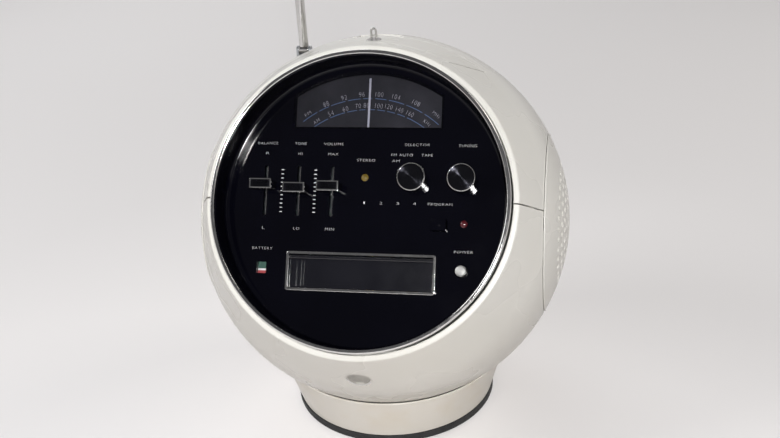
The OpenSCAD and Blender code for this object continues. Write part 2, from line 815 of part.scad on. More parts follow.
plunger_y = chassis_top + 9;
plunger_travel = 6;
module solenoid() {
    color("#8A5A2A") in_ball() difference() {
        block([-47, chassis_top, plunger_z - 9], [-25, chassis_top + 18, plunger_z + 9]);
        translate([-45, plunger_y, plunger_z]) rotate([0, 90, 0]) cylinder(r = 3 + run, h = 40);
    }
}
module solenoid_plunger() {
    color(steel) in_ball() translate([-38, plunger_y, plunger_z]) rotate([0, 90, 0]) {
        cylinder(r = 3, h = 24);
        translate([0, 0, 20]) cylinder(r = 5, h = 2);
    }
}
core_x = 8;
core_w = 48;
core_h = 36;
core_t = 24;
core_z = tray_back - 8;
winding_in = 10;
winding_t = 5;
module transformer() {
    color("#3C3E42") in_ball() {
        block([core_x, chassis_top, core_z - core_t], [core_x + core_w, chassis_top + core_h, core_z]);
        color("#A5552A") block([core_x + winding_in, chassis_top + 6, core_z - core_t - winding_t],
            [core_x + core_w - winding_in, chassis_top + core_h - 6, core_z - core_t]);
    }
}
board_w = 80;
module main_board() {
    color("#2E5B3A") in_ball() {
        block([-board_w, slot_top + 3.7, board_front - board_t], [board_w, window_low - 4, board_front]);
        // tongues beside the tape deck
        for (s = [-1, 1]) block([s > 0 ? slot_w + 5 : -board_w, meter_y - 10, board_front - board_t],
            [s > 0 ? board_w : -slot_w - 5, slot_top + 3.8, board_front]);
        block([-box_w, window_low - 4 - eps, board_front - board_t], [box_w, window_r - 4, board_front]);
        // wings that reach the panel's ledge
        for (s = [-1, 1]) block([s > 0 ? board_w - 2 : -board_w, -20, board_front - eps],
            [s > 0 ? board_w : 2 - board_w, 20, panel_back]);
        for (i = [0:4]) color("#2A2C30") translate([-62 + 24 * i, 66 - 12 * (i % 2) - 30, board_front - board_t])
            rotate([180, 0, 0]) cylinder(r = 5, h = 14);
        for (i = [0:2]) color("#15161A")
            block([-60 + 34 * i, -8, board_front - board_t - 6], [-42 + 34 * i, 4, board_front - board_t + eps]);
    }
}
gang_l = 30;
gang_top = board_front - board_t;
module tuning_gang() {
    color("#A9ABAD") in_ball() translate([tuning_x, knob_y, gang_top - gang_l]) {
        for (z = [0, gang_l - 2]) translate([0, 0, z]) linear_extrude(2) difference() {
            rect(36, 36);
            circle(r = shaft_r + run);
        }
        block([-18, -18, 0], [18, -16.5, gang_l]);
        for (i = [0:3]) translate([0, 0, 6.2 + i * 5]) linear_extrude(0.8) difference() {
            translate([-14, -17]) square([28, 17]);
            circle(r = 5);
        }
    }
}
module tuning_rotor() {
    color("#C8CACC") in_ball() translate([tuning_x, knob_y, gang_top - gang_l]) {
        cylinder(r = shaft_r, h = gang_l);
        for (i = [0:3]) translate([0, 0, 3.7 + i * 5]) linear_extrude(0.8) intersection() {
            circle(r = 14);
            translate([-14, 0]) square([28, 14]);
        }
    }
}

// ---------------------------------------------------------------- speakers, battery, sockets
magnet_r = 25;
magnet_t = 18;
magnet_d = ledge_d - 26;
module speaker_frame() {
    rotate_extrude() polygon([[ledge_hole_r - 6, cover_seat], [speaker_r, cover_seat], [speaker_r, ledge_d],
        [ledge_hole_r - 4.5, ledge_d], [magnet_r + 1.5, magnet_d], [magnet_r - 8, magnet_d],
        [magnet_r - 8, magnet_d + 1.5], [magnet_r, magnet_d + 1.5], [ledge_hole_r - 6, cover_seat - 1.6]]);
    translate([0, 0, magnet_d - magnet_t]) cylinder(r = magnet_r, h = magnet_t);
}
module speaker_frames() {
    color("#5A5C60") {
        on_right() speaker_frame();
        on_left() speaker_frame();
    }
}
cone_r = ledge_hole_r - 6.1;
coil_r = 12;
module speaker_cone() {
    rotate_extrude() polygon([[cone_r, cover_seat - 1.2], [cone_r, cover_seat], [cone_r - 3.4, cover_seat],
        [coil_r + 0.5, magnet_d + 10.5], [6, magnet_d + 13], [0, magnet_d + 13], [0, magnet_d + 12],
        [5.5, magnet_d + 12], [coil_r - 1, magnet_d + 9.5], [coil_r - 1, magnet_d + 1.7],
        [coil_r, magnet_d + 1.7], [coil_r, magnet_d + 9], [cone_r - 3.1, cover_seat - 1.2]]);
}
module speaker_cones() {
    color("#2A2724") {
        on_right() speaker_cone();
        on_left() speaker_cone();
    }
}
module cover_cap() {
    intersection() {
        difference() {
            sphere(r = ball_r, $fn = 180);
            sphere(r = ball_r - cover_wall, $fn = 180);
        }
        translate([0, 0, cap_d + cap_gap]) cylinder(r = big, h = big);
    }
}
// The skirt under a grille stays clear of the shell's inner side
skirt_r = sqrt(in_r * in_r - cap_d * cap_d) - 0.5;
module grille() {
    difference() {
        union() {
            cover_cap();
            translate([0, 0, cover_seat]) intersection() {
                tube(skirt_r, skirt_r - cover_wall, ball_r - cover_seat);
                translate([0, 0, -cover_seat]) sphere(r = ball_r - 1);
            }
        }
        translate([0, 0, cap_d]) cylinder(r = grille_hole_r, h = 30, $fn = 24);
        for (i = [1:grille_rings]) for (j = [0:6 * i - 1])
            rotate([0, 0, 60 / i * j + 30 * i]) translate([i * grille_pitch, 0, cap_d])
                cylinder(r = grille_hole_r, h = 30, $fn = 24);
    }
}
module speaker_grilles() {
    color(white) {
        on_right() grille();
        on_left() grille();
    }
}
can_r = ledge_hole_r - can_gap;
can_front = cover_seat - cell_l - 4.4;
cell_r = (can_r - can_t - cell_room) / 3;
cell_ring = can_r - can_t - cell_r - 1;
module battery_can() {
    color("#33353A") on_rear() {
        difference() {
            translate([0, 0, can_front]) cylinder(r = can_r, h = cover_seat - can_front);
            translate([0, 0, can_front + can_t]) cylinder(r = can_r - can_t, h = big);
        }
        translate([0, 0, ledge_d]) tube(speaker_r, can_r - 1, cover_seat - ledge_d);
    }
}
module battery_cells() {
    color("#5E6E8A") on_rear() for (i = [0:cells_n - 1]) rotate([0, 0, 60 * i])
        translate([cell_ring, 0, can_front + can_t + 0.3]) {
            cylinder(r = cell_r, h = cell_l - 1.5);
            cylinder(r = 5, h = cell_l);
        }
}
door_hinge_d = cap_d + 2.4;
door_hinge_h = cover_r + 2.4;
hinge_r = 2.6;
hinge_pin_r = 1.25;
lug_l = 4.4;
lug_x = 10.8;
module hinge_lugs() {
    for (s = [-1, 1]) at_hinge() translate([s * lug_x - lug_l / 2, 0, 0]) {
        rotate([0, 90, 0]) cylinder(r = hinge_r, h = lug_l);
        translate([0, -6, -hinge_r + 1]) cube([lug_l, 6, 2 * hinge_r - 2]);
    }
    at_hinge() translate([-lug_x, 0, 0]) rotate([0, 90, 0]) cylinder(r = hinge_pin_r, h = 2 * lug_x);
}
module at_hinge() {
    translate([0, door_hinge_d, ball_h - door_hinge_h]) children();
}
module battery_door() {
    color(white) difference() {
        union() {
            on_rear() cover_cap();
            at_centre() difference() {
                block([-8.2, door_hinge_d - 1.8, -door_hinge_h], [8.2, door_hinge_d + hinge_r, -58]);
                sphere(r = ball_r - cover_wall);
            }
            at_hinge() translate([-8.2, 0, 0]) rotate([0, 90, 0]) cylinder(r = hinge_r, h = 16.4);
        }
        at_hinge() translate([-20, 0, 0]) rotate([0, 90, 0]) cylinder(r = hinge_pin_r + run, h = 40);
        // finger notch at the top
        at_centre() translate([0, cap_d, cover_r + 2]) rotate([90, 0, 0])
            cylinder(r = 9, h = 6, center = true);
    }
}
socket_turn = 45;
socket_d = ball_r - 2;
socket_r = 17;
low_volt_r = 2.75;
module power_sockets() {
    color("#1C1D20") at_centre() rotate([0, 0, socket_turn]) rotate([0, 90, 0])
        translate([0, 0, socket_d - 24]) difference() {
            cylinder(r = socket_r - 0.1, h = 23.5);
            // mains inlet with two pins, turned upright
            difference() {
                translate([5, 0, 8]) linear_extrude(big) rect(9, 20);
                for (s = [-1, 1]) translate([5, s * 4.5, 0]) cylinder(r = 1.2, h = 16);
            }
            // low voltage socket
            translate([-8.5, 0, 10]) cylinder(r = low_volt_r, h = big);
        }
}
jack_angle = 59.7;
jack_r = 6;
jack_flange = 9.2;
jack_seat = ball_r - 2.4;
jack_bore_r = 3.25;
jack_l = 18;
module phones_jack() {
    color(chrome) in_ball() rotate([jack_angle, 0, 0]) difference() {
        union() {
            translate([0, 0, jack_seat]) cylinder(r = jack_flange - 0.1, h = ball_r - jack_seat);
            translate([0, 0, jack_seat - jack_l]) cylinder(r = jack_r - 0.1, h = jack_l + 0.1);
        }
        translate([0, 0, jack_seat - jack_l + 1.5]) cylinder(r = jack_bore_r, h = big);
        translate([0, 0, jack_seat - 1]) cylinder(r = jack_bore_r + 2.6, h = big);
        translate([0, 0, ball_r - 1.3]) cylinder(r1 = jack_flange - 2.8, r2 = jack_flange - 1.2, h = 1.4);
    }
}

// ---------------------------------------------------------------- handle and eye
module carry_handle() {
    color(white) difference() {
        in_ball() {
            intersection() {
                ball_outside();
                difference() {
                    block([-90, handle_low, handle_back], [90, big, handle_front]);
                    cylinder(r = over_well_r + handle_gap, h = big);
                    // undercut for the fingers
                    block([-pit_w / 2, 0, handle_back - 1], [pit_w / 2, handle_low + 20, handle_back + 9]);
                    for (s = [-1, 1]) block([s > 0 ? 20 : -44, 0, handle_back + 5], [s > 0 ? 44 : -20,
                        handle_low + 5, handle_front - 6]);
                }
            }
            for (s = [-1, 1]) translate([s * rod_x, handle_low + 1, rod_z]) rotate([90, 0, 0])
                cylinder(r = rod_r, h = handle_low + 1 - sleeve_low - 2);
        }
        at_eye(-0.4) cylinder(r = 5.6, h = 20);
    }
}
eye_y = 3;
eye_flange_t = 1.2;
eye_r = 1.8;
eye_h = 6.2;
module at_eye(z) {
    at_centre() translate([0, eye_y, ball_r + z]) children();
}
module hanging_eye() {
    color(chrome) at_eye(-0.4) {
        cylinder(r = 5.5, h = eye_flange_t);
        for (s = [-1, 1]) translate([s * eye_r, 0, eye_flange_t - eps]) cylinder(r = 0.8, h = eye_h + eps);
        translate([0, 0, eye_flange_t + eye_h]) rotate([90, 0, 0]) rotate_extrude(angle = 180)
            translate([eye_r, 0]) circle(r = 0.8, $fn = 24);
    }
}

// ---------------------------------------------------------------- antenna
turret_post_r = 5;
whip_pin_z = whip_surface + 2.38;
module antenna_swivel() {
    color(chrome) {
        at_whip(whip_floor - 2.5) cylinder(r = turret_post_r, h = 3);
        at_whip(whip_floor + 0.3) cylinder(r = 9, h = 12);
        for (s = [-1, 1]) at_whip(whip_floor + 12) block([s > 0 ? whip_r + 0.3 : -7.3, -4.5, 0],
            [s > 0 ? 7.3 : -whip_r - 0.3, 4.5, whip_pin_z - whip_floor - 12 + 4]);
        at_whip(whip_pin_z) rotate([0, 90, 0]) translate([0, 0, -7]) cylinder(r = 1.5, h = 14);
    }
}
function whip_out(i) = whip_r - i * (whip_wall + run);
module whip_section(i, low, high) {
    at_whip(0) translate([0, 0, low]) difference() {
        cylinder(r = whip_out(i), h = high - low, $fn = 48);
        if (i < 3) translate([0, 0, i == 0 ? whip_r + 7 : 1])
            cylinder(r = whip_out(i) - whip_wall, h = high - low, $fn = 48);
    }
}
whip_top = whip_pin_z + whip_l;
module antenna_tube() {
    color(chrome) difference() {
        union() {
            whip_section(0, whip_pin_z, whip_top);
            at_whip(whip_pin_z) rotate([0, 90, 0]) translate([0, 0, -whip_r]) cylinder(r = whip_r, h = 2 * whip_r);
        }
        at_whip(whip_pin_z) rotate([0, 90, 0]) translate([0, 0, -10]) cylinder(r = 1.5 + run, h = 20);
    }
}
whip_bottom = whip_pin_z + whip_r + 7.5;
module antenna_middle() {
    color(chrome) whip_section(1, whip_bottom, whip_top + 2);
}
module antenna_upper() {
    color(chrome) whip_section(2, whip_bottom + 1.5, whip_top + 4);
}
module antenna_tip() {
    color(chrome) {
        whip_section(3, whip_bottom + 3, whip_top + 4.3);
        at_whip(whip_top + 4.3) cylinder(r = whip_out(3) + 1, h = 5);
    }
}

base_drum();
foot_ring();
bearing_ring();
swivel_stud();
upper_shell();
lower_shell();
chrome_ring();
front_panel();
dial_window();
dial_scale();
dial_lightbox();
lamps();
slide_pots();
selector_switch();
push_switches();
battery_meter();
cartridge_frame();
cartridge_tray();
chassis();
main_board();
tuning_gang();
motor();
capstan_bearing();
drive_belt();
solenoid();
transformer();
speaker_frames();
speaker_cones();
speaker_grilles();
battery_can();
battery_cells();
power_sockets();
phones_jack();
panel_screws();
dial_pointer();
tuning_knob();
tuning_rotor();
selector_knob();
balance_slider();
tone_slider();
volume_slider();
program_button();
power_button();
meter_needle();
cartridge_flap();
motor_pulley();
flywheel();
head_carriage();
ratchet_cam();
solenoid_plunger();
battery_door();
carry_handle();
hanging_eye();
antenna_swivel();
antenna_tube();
antenna_middle();
antenna_upper();
antenna_tip();
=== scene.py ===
from math import acos, asin, atan2, cos, degrees, pi, radians, sin, sqrt, tan

import bmesh
import bpy
from mathutils import Matrix, Vector


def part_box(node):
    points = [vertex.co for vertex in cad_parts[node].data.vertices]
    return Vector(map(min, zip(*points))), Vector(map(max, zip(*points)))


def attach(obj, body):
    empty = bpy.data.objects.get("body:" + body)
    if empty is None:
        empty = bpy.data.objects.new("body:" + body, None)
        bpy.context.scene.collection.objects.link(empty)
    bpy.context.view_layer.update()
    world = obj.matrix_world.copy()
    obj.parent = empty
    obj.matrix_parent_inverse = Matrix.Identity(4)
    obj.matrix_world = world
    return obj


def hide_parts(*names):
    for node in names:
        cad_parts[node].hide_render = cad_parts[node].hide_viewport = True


# Looks for a ball-shaped cartridge player on a round swivel base.
# Lengths below are in millimetres; MM turns them into metres when a mesh is made.
# Ball frame: x to the right, y up the tilted panel, z out through the panel.

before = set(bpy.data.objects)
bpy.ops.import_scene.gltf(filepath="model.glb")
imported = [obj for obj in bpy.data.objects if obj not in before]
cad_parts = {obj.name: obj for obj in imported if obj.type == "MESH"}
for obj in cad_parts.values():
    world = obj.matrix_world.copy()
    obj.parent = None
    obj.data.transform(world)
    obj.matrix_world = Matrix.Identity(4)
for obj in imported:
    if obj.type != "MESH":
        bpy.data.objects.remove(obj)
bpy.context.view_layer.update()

MM = 0.001

# ---- sizes, as in the CAD
# ball, lip and seam
ball_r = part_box("speaker_grilles")[1].x / MM
wall = 3.5
in_r = ball_r - wall
tilt = 33
ball_h = 154
lip_r, lip_d, lip_w, lip_round = 109.6, 99.6, 4, 1.7
collar_d = 68
collar_r = sqrt(ball_r ** 2 - collar_d ** 2)
collar_turn = degrees(acos(collar_d / ball_r))
opening_r = lip_r - lip_w
seam_gap = 0.6
# panel, its well and the chrome ring
panel_d, panel_t = 84.4, 3
panel_back = panel_d - panel_t
ring_r, ring_t = opening_r - 0.8, 1.9
ring_front = lip_d + 8.1
well_r, well_t = ring_r - ring_t - 0.1, 1.5
well_front = ring_front - ring_t - 0.7
board_face = panel_back - 19.4
window_w, window_low, window_r, pane_t = 54.2, 53.4, 94.8, 1.6
scale_face = panel_back - 2
# round covers, their holes and ledges, and the battery door's hinge
cap_d, cap_gap, cover_wall = 124.6, 0.3, 3
hole_rings, hole_pitch, hole_r, hole_mouth_r = 7, 7.4, 1.5, 2.6
skirt_r, skirt_in = 59.9, 57
ledge_r, ledge_in, ledge_low, ledge_top = 77.9, 56, 115, 118
hinge_d, hinge_h, hinge_r, hinge_half, lug_x = 127, 70.5, 2.6, 8.2, 10.8
# controls, lamps and meter
slide_xs = (-72, -47.8, -23.6)
slide_y, slide_len, slide_w, slide_h = 8.2, 36, 15.8, 7.1
slide_rest = (3.2, 0.8, 2.3)
slide_rim = 0.95
knob_r, knob_y, knob_out, shaft_r = 9.8, 17.8, 14, 3
selector_x, tuning_x = 35, 69.7
program_xy, program_w, program_h = (54, -14), 10.8, 8.2
power_xy, power_r = (70.8, -45.5), 3.9
button_out = 6
stereo_xy, red_xy, lamp_r = (0.2, 18.5), (71.2, -12.8), 2.6
meter_xy, meter_w, meter_h = (-71.8, -47), 7, 8
# cartridge slot, its frame and the flap's axis
slot_w, slot_h, slot_y, slot_sleeve = 51.4, 24, -48.7, 1.2
frame_w, frame_out = 2, 2.5
flap_y, flap_z, flap_pin_r = slot_y + slot_h / 2 - 2.1, panel_d - 1.2, 1.05
# carrying handle and finger pit
handle_low, handle_back, handle_front, handle_gap, handle_half = 101, 60, 86, 0.4, 90
pocket_wall = 2.6
rod_x, rod_r, rod_low = 62, 4, 73
pit_w, pit_low, pit_back, pit_wall = 32, 112, 48, 3
over_well_r = opening_r + 3.6
eye_y = 3
# antenna and its well
whip_x, whip_y, whip_floor, whip_well_r, whip_pin = -60, 28, 104, 13, 128
whip_r, whip_l = 3.5, 150
# headphone jack and rear sockets
jack_angle, jack_flange, jack_bore_r, jack_hole_r = 59.7, 9.2, 3.25, 6
jack_seat = ball_r - 2.4
socket_turn, socket_d, socket_r, socket_floor, socket_brim = 45, 140, 17, 118, 26
# drum, foot and swivel
drum_top_r, drum_low_r, drum_wall, drum_top_d = 91.06, 80.5, 3.5, 111
foot_h, floor_t, rim_gap = 6, 2.6, 0.7
bearing_r, bearing_in, bearing_down, bearing_ledge_t = drum_top_r - 5, drum_top_r - 13, 10, 3
stud_hole_r = 8.05

# lengths that only have to reach past the part
big = 400
beyond = 150


def turn_by(angle, axis):
    """Turn round an axis through the origin, in degrees."""
    return Matrix.Rotation(radians(angle), 4, axis)


CENTRE = Matrix.Translation((0, 0, ball_h * MM))
BALL = CENTRE @ turn_by(90 - tilt, "X")
RIGHT = CENTRE @ turn_by(90, "Y")
LEFT = CENTRE @ turn_by(-90, "Y")
REAR = CENTRE @ turn_by(-90, "X")
JACK = BALL @ turn_by(jack_angle, "X")
WORLD = Matrix.Identity(4)


def at(x, y, z, base=BALL):
    """A place inside a frame, given in millimetres."""
    return base @ Matrix.Translation((x * MM, y * MM, z * MM))


WHIP = at(whip_x, whip_y, 0, CENTRE)
HINGE = at(0, hinge_d, -hinge_h, CENTRE)


# ---- mesh helpers
def fillet(points, radii, steps=5):
    """Closed outline with each corner rounded by its radius."""
    out = []
    for i, point in enumerate(points):
        p = Vector(point)
        r = radii[i] if isinstance(radii, (list, tuple)) else radii
        a, b = Vector(points[i - 1]) - p, Vector(points[(i + 1) % len(points)]) - p
        flat = 0.03
        if r <= 0 or min(a.length, b.length) < 1e-6 or not flat <= a.angle(b) <= pi - flat:
            out.append(p)
            continue
        angle = a.angle(b)
        d = min(r / tan(angle / 2), a.length * 0.49, b.length * 0.49)
        radius = d * tan(angle / 2)
        centre = p + (a.normalized() + b.normalized()).normalized() * (radius / sin(angle / 2))
        v0, v1 = p + a.normalized() * d - centre, p + b.normalized() * d - centre
        start = atan2(v0.y, v0.x)
        turn = atan2(v1.y, v1.x) - start
        turn = (turn + pi) % (2 * pi) - pi
        for k in range(steps + 1):
            t = start + turn * k / steps
            out.append(centre + Vector((cos(t), sin(t))) * radius)
    return [(p.x, p.y) for p in out]


def arc(radius, start, end, steps, centre=(0, 0)):
    """Points of a circle's arc, angles in degrees from the second axis towards the first."""
    out = []
    for k in range(steps + 1):
        t = radians(start + (end - start) * k / steps)
        out.append((centre[0] + radius * sin(t), centre[1] + radius * cos(t)))
    return out


def band(inner, outer, low, high):
    """Cross-section of a ring or, with no inner radius, of a round bar."""
    return [(inner, low), (outer, low), (outer, high), (inner, high)]


def lathe(profile, segs=128):
    """Solid of revolution of (radius, height) points about z."""
    bm = bmesh.new()
    rings = []
    for r, z in profile:
        if r < 1e-5:
            rings.append([bm.verts.new((0, 0, z))])
        else:
            rings.append([bm.verts.new((x, y, z)) for x, y in circle(r, segs=segs)])
    for low, high in zip(rings, rings[1:] + rings[:1]):
        for k in range(segs):
            j = (k + 1) % segs
            corners = [low[k % len(low)], low[j % len(low)], high[j % len(high)], high[k % len(high)]]
            unique = []
            for v in corners:
                if v not in unique:
                    unique.append(v)
            if len(unique) > 2:
                bm.faces.new(unique)
    bmesh.ops.recalc_face_normals(bm, faces=bm.faces)
    return bm


def plate(outline, low, high, bevel=0, steps=3):
    """Outline pushed up from low to high, its upper edge rounded."""
    bm = bmesh.new()
    bottom = [bm.verts.new((x, y, low)) for x, y in outline]
    top = [bm.verts.new((x, y, high)) for x, y in outline]
    bm.faces.new(bottom)
    cap = bm.faces.new(top)
    for k in range(len(outline)):
        j = (k + 1) % len(outline)
        bm.faces.new((bottom[k], bottom[j], top[j], top[k]))
    bmesh.ops.recalc_face_normals(bm, faces=bm.faces)
    if bevel:
        bmesh.ops.bevel(bm, geom=list(cap.edges), offset=bevel, segments=steps, affect="EDGES", profile=0.5)
    return bm


def rectangle(w, h, x=0, y=0):
    """Outline round a middle point."""
    return [(x + i * w / 2, y + j * h / 2) for i, j in ((-1, -1), (1, -1), (1, 1), (-1, 1))]


def circle(r, x=0, y=0, segs=48):
    """Outline of a disc."""
    turns = [2 * pi * k / segs for k in range(segs)]
    return [(x + r * cos(t), y + r * sin(t)) for t in turns]


def box(a, b, bevel=0):
    """Box between two corners, its edges rounded."""
    bm = bmesh.new()
    bmesh.ops.create_cube(bm, size=1)
    for v in bm.verts:
        v.co = [(a[i] + b[i]) / 2 + v.co[i] * (b[i] - a[i]) for i in range(3)]
    if bevel:
        bmesh.ops.bevel(bm, geom=list(bm.edges), offset=bevel, segments=3, affect="EDGES", profile=0.5)
    return bm


def moved(bm, x=0, y=0, z=0, turn=None):
    """The mesh turned by (degrees, axis) and then shifted."""
    if turn:
        bm.transform(turn_by(*turn))
    bm.transform(Matrix.Translation((x, y, z)))
    return bm


def join(*parts):
    """One mesh of several, which are used up."""
    out = bmesh.new()
    for part in parts:
        mesh = bpy.data.meshes.new("part")
        part.to_mesh(mesh)
        out.from_mesh(mesh)
        bpy.data.meshes.remove(mesh)
        part.free()
    return out


def new_object(name, data):
    """An object that is part of the scene."""
    obj = bpy.data.objects.new(name, data)
    bpy.context.scene.collection.objects.link(obj)
    return obj


def solid(bm, place=BALL):
    """An object in metres from a mesh drawn in millimetres."""
    bm.transform(place @ Matrix.Scale(MM, 4))
    bmesh.ops.recalc_face_normals(bm, faces=bm.faces)
    mesh = bpy.data.meshes.new("solid")
    bm.to_mesh(mesh)
    bm.free()
    return new_object("solid", mesh)


def globe(radius, steps, place):
    """Whole sphere, to keep or cut what lies inside it."""
    return solid(lathe([(0, -radius), *arc(radius, 180, 0, steps)[1:-1], (0, radius)], 192), place)


def shown_mesh(obj):
    """New mesh of what the object shows with its modifiers."""
    bpy.context.view_layer.update()
    return bpy.data.meshes.new_from_object(obj.evaluated_get(bpy.context.evaluated_depsgraph_get()))


def boolean(obj, others, operation="DIFFERENCE"):
    """Cuts, joins or keeps obj by each of the others, which are used up."""
    for other in others:
        mod = obj.modifiers.new("cut", "BOOLEAN")
        mod.object = other
        mod.operation = operation
        mod.solver = "MANIFOLD"
    mesh = shown_mesh(obj)
    obj.modifiers.clear()
    obj.data = mesh
    for other in others:
        bpy.data.objects.remove(other)
    return obj


def copy_of(obj):
    """A second object with its own mesh."""
    twin = obj.copy()
    twin.data = obj.data.copy()
    bpy.context.scene.collection.objects.link(twin)
    return twin


def soften(obj, angle=28):
    """Smooth shading, with sharp edges where the surface turns more than the angle."""
    bm = bmesh.new()
    bm.from_mesh(obj.data)
    bmesh.ops.remove_doubles(bm, verts=bm.verts, dist=1e-6)
    limit = radians(angle)
    for face in bm.faces:
        face.smooth = True
    for edge in bm.edges:
        edge.smooth = len(edge.link_faces) == 2 and edge.calc_face_angle(0) < limit
    bm.to_mesh(obj.data)
    bm.free()
    weigh = obj.modifiers.new("weigh", "WEIGHTED_NORMAL")
    weigh.keep_sharp = True
    weigh.weight = 100


def piece(obj, name, body, mat, replaces=(), angle=28):
    """Names a finished piece and ties it to its CAD body and material."""
    obj.name = name
    obj.data.name = name
    soften(obj, angle)
    obj.data.materials.clear()
    obj.data.materials.append(mat)
    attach(obj, body)
    if replaces:
        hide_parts(*replaces)
    return obj


def white(obj, name, body="ball", replaces=()):
    """A piece of the white shell."""
    return piece(obj, name, body, WHITE, replaces)


def bright(obj, name, body="ball", replaces=()):
    """A plated piece."""
    return piece(obj, name, body, CHROME, replaces)


# ---- materials
class Nodes:
    """Short names for building a node material."""

    def __init__(self, name):
        self.mat = bpy.data.materials.new(name)
        self.mat.use_nodes = True
        self.tree = self.mat.node_tree
        self.shader = self.tree.nodes["Principled BSDF"]
        self.out = self.tree.nodes["Material Output"]
        self.coords = self.add("ShaderNodeTexCoord").outputs["Object"]

    def add(self, kind, **values):
        node = self.tree.nodes.new(kind)
        for key, value in values.items():
            if hasattr(node, key):
                setattr(node, key, value)
            else:
                node.inputs[key.replace("_", " ").title()].default_value = value
        return node

    def link(self, a, b):
        self.tree.links.new(a, b)

    def feed(self, socket, value):
        """Links a value to a socket of the material's own shader."""
        self.link(value, self.shader.inputs[socket])

    def put(self, **values):
        for key, value in values.items():
            self.shader.inputs[key.replace("_", " ").title()].default_value = value

    def noise(self, scale, detail=3, rough=0.5):
        node = self.add("ShaderNodeTexNoise", scale=scale, detail=detail, roughness=rough)
        self.link(self.coords, node.inputs["Vector"])
        return node.outputs["Fac"]

    def spread(self, fac, low, high, start=0.35, end=0.65):
        """Turns a noise value into the range low to high."""
        node = self.add("ShaderNodeMapRange", from_min=start, from_max=end, to_min=low, to_max=high)
        self.link(fac, node.inputs["Value"])
        return node.outputs["Result"]

    def mix(self, fac, a, b):
        node = self.add("ShaderNodeMix", data_type="RGBA")
        self.link(fac, node.inputs["Factor"])
        colours = [s for s in node.inputs if s.type == "RGBA"]
        for socket, value in zip(colours, (a, b)):
            if isinstance(value, (tuple, list)):
                socket.default_value = (*value, 1)
            else:
                self.link(value, socket)
        return [s for s in node.outputs if s.type == "RGBA"][0]

    def math(self, op, a, b):
        node = self.add("ShaderNodeMath", operation=op)
        self.link(a, node.inputs[0])
        self.link(b, node.inputs[1])
        return node.outputs[0]

    def bump(self, height, strength, distance=0.0002):
        node = self.add("ShaderNodeBump", strength=strength, distance=distance)
        self.link(height, node.inputs["Height"])
        self.feed("Normal", node.outputs["Normal"])


def shade(colour, k):
    """A colour made darker or lighter."""
    return tuple(c * k for c in colour)


def finish(name, colour, rough, metal=0.0, vary=0.1, patch=60, grain=1800, bump=0.1, rough_vary=0.06,
           fleck=None, gloss=0.5):
    """A finish with uneven colour, gloss and a fine surface."""
    n = Nodes(name)
    patches = n.noise(patch)
    tone = n.mix(n.spread(patches, 0, 1), shade(colour, 1 - vary), shade(colour, 1 + vary))
    if fleck:
        specks = n.spread(n.noise(patch * 18, 2), 0, 1, 0.66, 0.72)
        tone = n.mix(specks, tone, fleck)
    n.feed("Base Color", tone)
    fine = n.noise(grain, 2)
    n.feed("Roughness", n.spread(n.noise(patch * 3), rough - rough_vary, rough + rough_vary))
    n.put(metallic=metal)
    n.shader.inputs["Specular IOR Level"].default_value = gloss
    n.bump(fine, bump)
    return n.mat


def shell_finish(name, colour, aged, rough, brown_fade_heights=None):
    """Moulded white plastic: yellowed patches, scuffs and, on the drum, patchy brown darkening that fades out
    towards the foot.
    """
    n = Nodes(name)
    tone = n.mix(n.spread(n.noise(9, 4), 0, 1, 0.3, 0.7), colour, aged)
    scuffs = n.spread(n.noise(260, 3, 0.5), 0, 0.03, 0.7, 0.9)
    tone = n.mix(scuffs, tone, shade(colour, 0.8))
    # patchy brown darkening on the drum: full above the first height, gone below the second, towards the foot
    if brown_fade_heights:
        height = n.add("ShaderNodeSeparateXYZ")
        n.link(n.coords, height.inputs[0])
        edge = n.spread(height.outputs["Z"], 1, 0, brown_fade_heights[0] * MM, brown_fade_heights[1] * MM)
        brown_patches = n.math("MULTIPLY", edge, n.spread(n.noise(40, 4), 0, 0.2, 0.42, 0.66))
        tone = n.mix(brown_patches, tone, (0.56, 0.46, 0.30))
    n.feed("Base Color", tone)
    n.feed("Roughness", n.spread(n.noise(18, 2), rough - 0.02, rough + 0.03))
    n.bump(n.noise(500, 2), 0.005, 0.00003)
    return n.mat


def spun_finish(name, colour, rough, stretch):
    """Metal or lacquer turned on a lathe: highlights run out from the centre."""
    n = Nodes(name)
    rings = n.add("ShaderNodeTexWave", wave_type="RINGS", rings_direction="Z", scale=900.0, distortion=0.4)
    n.link(n.coords, rings.inputs["Vector"])
    tone = n.mix(n.spread(rings.outputs["Fac"], 0, 1, 0, 1), shade(colour, 0.86), shade(colour, 1.1))
    n.feed("Base Color", tone)
    n.put(metallic=1.0, anisotropic=stretch, anisotropic_rotation=0.25)
    n.feed("Roughness", n.spread(n.noise(300), rough - 0.04, rough + 0.04))
    tangent = n.add("ShaderNodeTangent", direction_type="RADIAL", axis="Z")
    n.feed("Tangent", tangent.outputs["Tangent"])
    n.bump(rings.outputs["Fac"], 0.05, 0.00005)
    return n.mat


def pane_finish(name, tint, clear):
    """Smoked sheet: what is behind shows through, and the front reflects."""
    n = Nodes(name)
    gloss = n.add("ShaderNodeBsdfGlossy", roughness=0.06)
    through = n.add("ShaderNodeBsdfTransparent")
    n.link(n.mix(n.spread(n.noise(30), 0, 1), shade(tint, 0.96), shade(tint, 1.04)), through.inputs["Color"])
    amount = n.add("ShaderNodeFresnel")
    amount.inputs["IOR"].default_value = clear
    both = n.add("ShaderNodeMixShader")
    n.link(amount.outputs[0], both.inputs[0])
    n.link(through.outputs[0], both.inputs[1])
    n.link(gloss.outputs[0], both.inputs[2])
    n.link(both.outputs[0], n.out.inputs["Surface"])
    return n.mat


